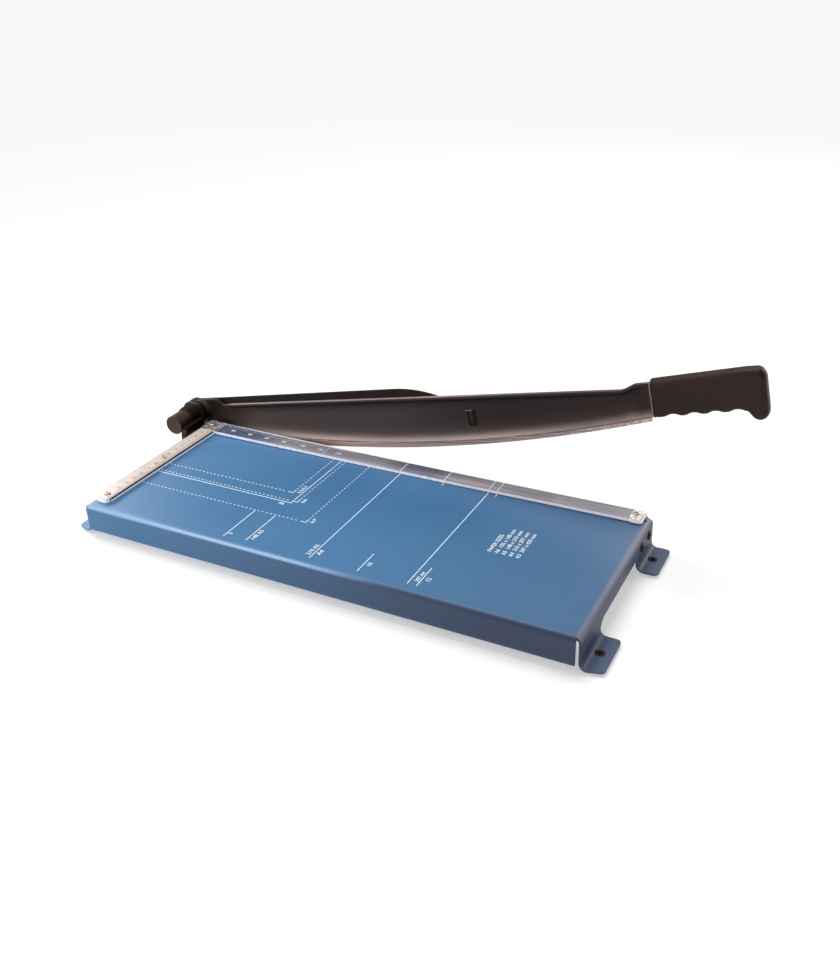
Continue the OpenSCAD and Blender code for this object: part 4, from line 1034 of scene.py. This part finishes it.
def makeScrew(look, finish):
    sunk = look.get("sunk")
    tall = look["head"] - look["shank"] if sunk else look["tall"]
    piece = addCylinder("screw", 40, look["head"], tall, (0, 0, (-tall if sunk else tall) / 2))
    startEdit(piece)
    pick(piece, lambda at, way: way.z > mostly)
    roundEdges(look["dome"], 4)
    pick(piece, lambda at, way: way.z < -mostly)
    share = look["shank"] / look["head"]
    if sunk:
        bpy.ops.transform.resize(value=(share, share, 1))
    else:
        bpy.ops.mesh.inset(thickness=(look["head"] - look["shank"]) * mm)
    bpy.ops.mesh.extrude_region_move(TRANSFORM_OT_translate={"value": (0, 0, -look["length"] * mm)})
    roundEdges(0.3, 1)
    stopEdit()
    drive, top = look.get("drive"), 0.0 if sunk else tall
    if drive:
        reach, deep = look["reach"], look["deep"]
        cutters = [
            addCube("driveCutter", (-reach * long, reach * long), (-reach * wide, reach * wide), (top - deep, top + 3))
            for long, wide in driveBars.get(drive, ())
        ]
        for cutter in cutters or [addCylinder("driveCutter", 6, reach, 2 * deep, (0, 0, top))]:
            combine(piece, cutter, "DIFFERENCE")
    addFinishes(piece, finish, darkFinish)
    if drive:  # painted shadow inside
        low, high = (top - deep * 1.1) * mm, (top - 0.08) * mm
        startEdit(piece)
        assign(piece, 1, lambda at, way: (
            low < at.z < high and at.xy.length < reach * mm and (way.z > mostly or way.z ** 2 < 0.1)
        ))
        stopEdit()
    return piece


def screwSet(name, node, look, spots, turn, body, slot, finish=None):
    pattern = makeScrew(look, finish or finishOf[slot])
    carrier = armMatrix if body == "arm" else Matrix.Identity(4)
    copies = []
    for i, spot in enumerate(spots):
        copy = pattern.copy()
        copy.data = pattern.data.copy()
        bpy.context.scene.collection.objects.link(copy)
        matrix = Matrix.Translation([c * mm for c in spot]) @ turn @ Matrix.Rotation(0.6 * i + 0.3, 4, "Z")
        copy.data.transform(carrier @ matrix)
        copies.append(copy)
    bpy.data.objects.remove(pattern)
    return seat(joined(copies, name), body, None, [node], 30)


upright = Matrix.Identity(4)
toBack = Matrix.Rotation(-math.pi / 2, 4, "X")
toRight = Matrix.Rotation(math.pi / 2, 4, "Y")
toLeft = Matrix.Rotation(-math.pi / 2, 4, "Y")
panHead = {
    "head": 2.9, "tall": 1.2, "dome": 0.7, "shank": 2.0, "length": 8.8, "drive": "cross", "reach": 1.5, "deep": 0.8,
}
spots = [(-216, -72.5, 36), (-216, 2.5, 36)]
screwSet("rulerScrews", "ruler_screws", panHead, spots, upright, "base", "fastener_steel", creamFinish)
spots = [(-216, 77.25, 36.5), (216, 77.25, 36.5)]
screwSet("guardScrews", "guard_screws", {**panHead, "length": 9.3}, spots, upright, "base", "fastener_steel")
buttonHead = {
    "head": 3.8, "tall": 1.6, "dome": 1.0, "shank": 2.5, "length": 8.6, "drive": "hex", "reach": 1.8, "deep": 1.0,
}
spots = [(228.5, 75, 20.5), (228.5, 55, 20.5)]
screwSet("endBolts", "end_bolts", buttonHead, spots, toRight, "base", "black_steel")
spots = [(-233.5, 75, 20.5), (-233.5, 55, 20.5)]
screwSet("hingeBolts", "hinge_bolts", {**buttonHead, "length": 10.6}, spots, toLeft, "base", "black_steel")
sunkHead = {
    "sunk": True, "head": 4.75, "dome": 0.15, "shank": 2.5, "length": 7.2, "drive": "hex", "reach": 1.7, "deep": 1.4,
}
spots = [(x, 89.4, 20) for x in (-210, -105, 0, 105, 210)]
screwSet("fixedBladeScrews", "fixed_blade_screws", sunkHead, spots, toBack, "base", "fastener_steel")
slotHead = {
    "sunk": True, "head": 2.8, "dome": 0.1, "shank": 2.35, "length": 0.3, "drive": "slot", "reach": 3.2, "deep": 0.4,
}
bladeScrewArc = (1240.5, (240.0, 1206.6))
spots = [(x, 4.9, circleLow(*bladeScrewArc, x)) for x in (49 + i * 79.2 for i in range(6))]
screwSet("armBladeScrews", "blade_screws", slotHead, spots, toBack, "arm", "fastener_steel")
rivetHead = {"head": 4.4, "tall": 1.6, "dome": 1.4, "shank": 2.4, "length": 2.8}
spots = [(60 + i * 200 / 3, 7.3, -8) for i in range(4)]
screwSet("stiffenerRivets", "stiffener_rivets", rivetHead, spots, toBack, "arm", "black_steel")
handleHead = {
    "sunk": True, "head": 4.8, "dome": 0.1, "shank": 2.5, "length": 8.0, "drive": "cross", "reach": 2.6, "deep": 1.6,
}
screwSet("handleScrew", "handle_screw", handleHead, [handleScrew["at"]], toBack, "arm", "black_steel")
print("screws made")

# white prints on the table: paper formats from the stop and the cut line, with their labels
prints = {
    "corner": (-208.5, 89.5), "wide": 0.7, "thin": 0.74, "dash": 1.9, "pitch": 4.233, "low": 31.96, "high": 32.06,
    "left": (-206.5, -207.5), "near": 86.0, "closed": 5.2, "textHigh": 0.06, "textBold": 0.05,
}


def inkBar(x, y, low=prints["low"], high=prints["high"]):
    return addCube("inkBar", x, y, (low, high))


def inkDashes(x, y, along):
    dash, pitch = prints["dash"], prints["pitch"]
    start, end = (x, y)[along]
    sides, offset = [x, y], [0, 0, 0]
    sides[along], offset[along] = (start, start + dash), pitch
    return repeat(inkBar(*sides), max(1, int((end - start - dash) / pitch) + 1), offset)


def inkText(body, x, y, size, upwards=True, z=32.0):
    deselect()
    bpy.ops.object.text_add(location=(x * mm, y * mm, z * mm), rotation=(0, 0, math.pi / 2 if upwards else 0))
    text = named("inkText").data
    text.body, text.size, text.resolution_u = body, size * mm, 3
    text.extrude, text.offset = prints["textHigh"] * mm, prints["textBold"] * mm
    bpy.ops.object.convert(target="MESH")
    settle()
    return bpy.context.object


half, thin = prints["wide"] / 2, prints["thin"] / 2
stopX, cutY = prints["corner"]
near, closed, (dashLeft, lineLeft) = prints["near"], prints["closed"], prints["left"]
ink = []
formats = {"3.5x5.5": (139.7, 88.9), "4x6": (152.4, 101.6), "5x7": (177.8, 127.0), "A6": (148.0, 105.0)}
for label, (across, deep) in formats.items():
    x, y = stopX + across, cutY - deep
    if "x" in label:  # dashed, with a closed corner
        ink.append(inkDashes((dashLeft, x - 6), (y - thin, y + thin), 0))
        ink.append(inkDashes((x - thin, x + thin), (y + 6.5, near), 1))
        ink.append(inkBar((x - closed, x + thin), (y - thin, y + thin)))
        ink.append(inkBar((x - thin, x + thin), (y + thin, y + closed)))
    else:
        ink.append(inkBar((lineLeft, x + half), (y - half, y + half)))
        ink.append(inkBar((x - half, x + half), (y + half, near)))
lines = (  # from the stop, and from where to where across the table
    (210.0, -82, near), (297.0, -81, near), (127.0, -83, -38.6), (148.0, -81, -39), (254.0, -82, -56),
    (304.8, -81, -55), (254.0, 63.6, near), (304.8, 64.6, near),
)
for across, start, end in lines:
    ink.append(inkBar((stopX + across - half, stopX + across + half), (start, end)))
labels = (  # text, place and size
    ("3.5x5.5", -62.6, 1.6, 4.6), ("4x6", -50.2, -11.5, 4.6), ("5x7", -24.4, -36.5, 4.6), ("5", -76.6, -78.6, 5.4),
    ("148 A5", -54.8, -78.2, 5.4), ("210 A5", -0.6, -78.2, 5.4), ("A4", 7.4, -75.0, 6.0), ("10", 51.6, -73.3, 5.4),
    ("297 A4", 95.0, -76.0, 4.6), ("12", 102.9, -73.1, 5.4), ("10", 50.2, 75.2, 5.0), ("12", 101.4, 74.0, 5.0),
    ("A6", -70.5, -20.6, 4.8, False),
)
for label in labels:
    ink.append(inkText(*label))
sizeTable = {
    "x": 128.2, "y": -16.0, "pitch": 5.9, "size": 5.0,
    "rows": ("PAPER SIZES", "A6  105 x 148 mm", "A5  148 x 210 mm", "A4  210 x 297 mm", "A3  297 x 420 mm"),
}
for i, body in enumerate(sizeTable["rows"]):
    ink.append(inkText(body, sizeTable["x"] + sizeTable["pitch"] * i, sizeTable["y"], sizeTable["size"]))
seat(joined(ink, "tablePrints"), "base", [inkFinish], angle=20)

# fine scales: dark on the ruler, white on the guard; ticks as count, pitch and length
rulerMarks = {
    "z": 36.0, "thin": 0.28, "along": 1, "start": -77.5, "edge": -210.2, "ticks": ((29, 5, 2.8), (145, 1, 1.5)),
    "numbers": (-216.8, -81.6, 10), "size": 4.4, "first": 17, "bare": (0, 1, 8),
}
guardMarks = {
    "z": 35.8, "thin": 0.3, "along": 0, "start": -207.5, "edge": 84.6,
    "ticks": ((16, 10, 4.2), (31, 5, 2.8), (151, 1, 1.6)), "numbers": (-211.5, 74.0, 20), "size": 4.6,
    "long": ((-81.5, 0.4), (1.5, 0.8), (45.5, 0.8), (88.5, 0.6), (96.3, 0.6)), "longY": (68.8, 84.8),
}


def markHeight(look):
    return look["z"] - 0.02, look["z"] + 0.05


def scaleTicks(look):
    marks = []
    for count, pitch, length in look["ticks"]:
        sides, offset = [(look["edge"] - length, look["edge"])] * 2, [0, 0, 0]
        sides[look["along"]] = (look["start"] - look["thin"] / 2, look["start"] + look["thin"] / 2)
        offset[look["along"]] = pitch
        marks.append(repeat(inkBar(*sides, *markHeight(look)), count, offset))
    return marks


marks = scaleTicks(rulerMarks)
x, y, pitch = rulerMarks["numbers"]
for i in range(15):
    if i not in rulerMarks["bare"]:  # clear of the screws
        number = str(rulerMarks["first"] - i)
        marks.append(inkText(number, x, y + pitch * i, rulerMarks["size"], False, rulerMarks["z"]))
seat(joined(marks, "rulerScale"), "base", [darkInkFinish], angle=20)
marks = scaleTicks(guardMarks)
x, y, pitch = guardMarks["numbers"]
for i in range(1, 8):
    marks.append(inkText(str(pitch * i), x + pitch * i, y, guardMarks["size"], False, guardMarks["z"]))
for x, wide in guardMarks["long"]:
    marks.append(inkBar((x - wide / 2, x + wide / 2), guardMarks["longY"], *markHeight(guardMarks)))
seat(sagged(joined(marks, "guardScale")), "base", [inkFinish], angle=20)
print("prints made")

# CAD nodes that still show
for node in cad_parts.values():
    for slot in node.material_slots:
        slot.material = finishOf[slot.material.name.split(".")[0]]

# floor, light and camera
floorLook = {"shade": (0.55, 0.55, 0.55, 1.0), "glow": 0.46, "size": 40.0}
deselect()
bpy.ops.mesh.primitive_plane_add(size=floorLook["size"])
floor = named("studioFloor")
floorFinish, *_ = newFinish("studioFloor", {
    "Base Color": floorLook["shade"], "Roughness": 0.9, "Specular IOR Level": 0.1,
    "Emission Color": (1.0, 1.0, 1.0, 1.0), "Emission Strength": floorLook["glow"],
})
floor.data.materials.append(floorFinish)
floor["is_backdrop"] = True

backdropLook = {"shade": (1.0, 1.0, 1.0, 1.0), "light": 0.16, "seen": 0.78}
world = bpy.context.scene.world or bpy.data.worlds.new("studio")
bpy.context.scene.world = world
world.use_nodes = True
backdrop = world.node_tree.nodes["Background"].inputs
backdrop["Color"].default_value = backdropLook["shade"]
seen = Wire(world.node_tree, None).add("LightPath", out="Is Camera Ray")
strength = backdropLook["light"] + seen * backdropLook["seen"]  # dim as a light, pale where it shows behind the floor
seen.plug(strength, backdrop["Strength"])

sun = {"at": (-0.25, 0.15, 0.95), "to": (0, 0, 0), "angle": math.radians(36), "power": 2.35, "tint": (1.0, 0.99, 0.98)}
softboxes = {
    "frontKey": {
        "at": (-0.85, -0.55, 0.6), "to": (-0.15, -0.09, 0.03), "size": (0.35, 0.3), "power": 4.4,
        "tint": (1.0, 0.98, 0.97),
    },
    "frontStrip": {
        "at": (-0.5, -0.6, 0.14), "to": (-0.05, 0.05, 0.06), "size": (0.5, 0.26), "power": 1.6,
        "tint": (1.0, 0.95, 0.92),
    },
    "leftSoft": {
        "at": (-0.85, 0.28, 0.4), "to": (-0.2, -0.05, 0.03), "size": (0.3, 0.3), "power": 0.42,
        "tint": (1.0, 0.98, 0.97), "spread": 60,
    },
    "backSoft": {
        "at": (0.25, 1.25, 0.95), "to": (0.15, 0.05, 0.03), "size": (1.2, 0.7), "power": 4.2, "tint": (1.0, 0.9, 0.84),
    },
    "backRight": {
        "at": (0.85, 1.2, 0.42), "to": (0.22, 0.0, 0.03), "size": (0.5, 0.4), "power": 6.0, "tint": (1.0, 0.9, 0.87),
    },
}


def addLamp(name, kind, lamp):
    bpy.ops.object.light_add(type=kind, location=lamp["at"])
    light = bpy.context.object
    light.name = name
    light.rotation_euler = (Vector(lamp["to"]) - Vector(lamp["at"])).to_track_quat("-Z", "Y").to_euler()
    light.data.energy, light.data.color = lamp["power"], lamp["tint"]
    return light


addLamp("overhead", "SUN", sun).data.angle = sun["angle"]
for name, lamp in softboxes.items():
    light = addLamp(name, "AREA", lamp)
    light.data.shape = "RECTANGLE"
    light.data.size, light.data.size_y = lamp["size"]
    light.data.spread = math.radians(lamp.get("spread", 180))
    light.visible_camera = False

view = {
    "at": (398.56, -617.44, 461.22), "right": (0.88614, 0.46164, -0.04058), "down": (0.19164, -0.44476, -0.87491),
    "ahead": (-0.42194, 0.76751, -0.48259), "lens": 37.507, "sensor": 36.0, "nearest": 0.01,
}
bpy.ops.object.camera_add(location=[c * mm for c in view["at"]])
camera = bpy.context.object
axes = [Vector(view["right"]), -Vector(view["down"]), -Vector(view["ahead"])]
camera.rotation_euler = Matrix([[axes[column][row] for column in range(3)] for row in range(3)]).to_euler()
camera.data.lens, camera.data.sensor_width, camera.data.clip_start = view["lens"], view["sensor"], view["nearest"]
bpy.context.scene.camera = camera
bpy.context.scene.view_settings.view_transform = "Standard"

deselect()
low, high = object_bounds()
print("scene ready")
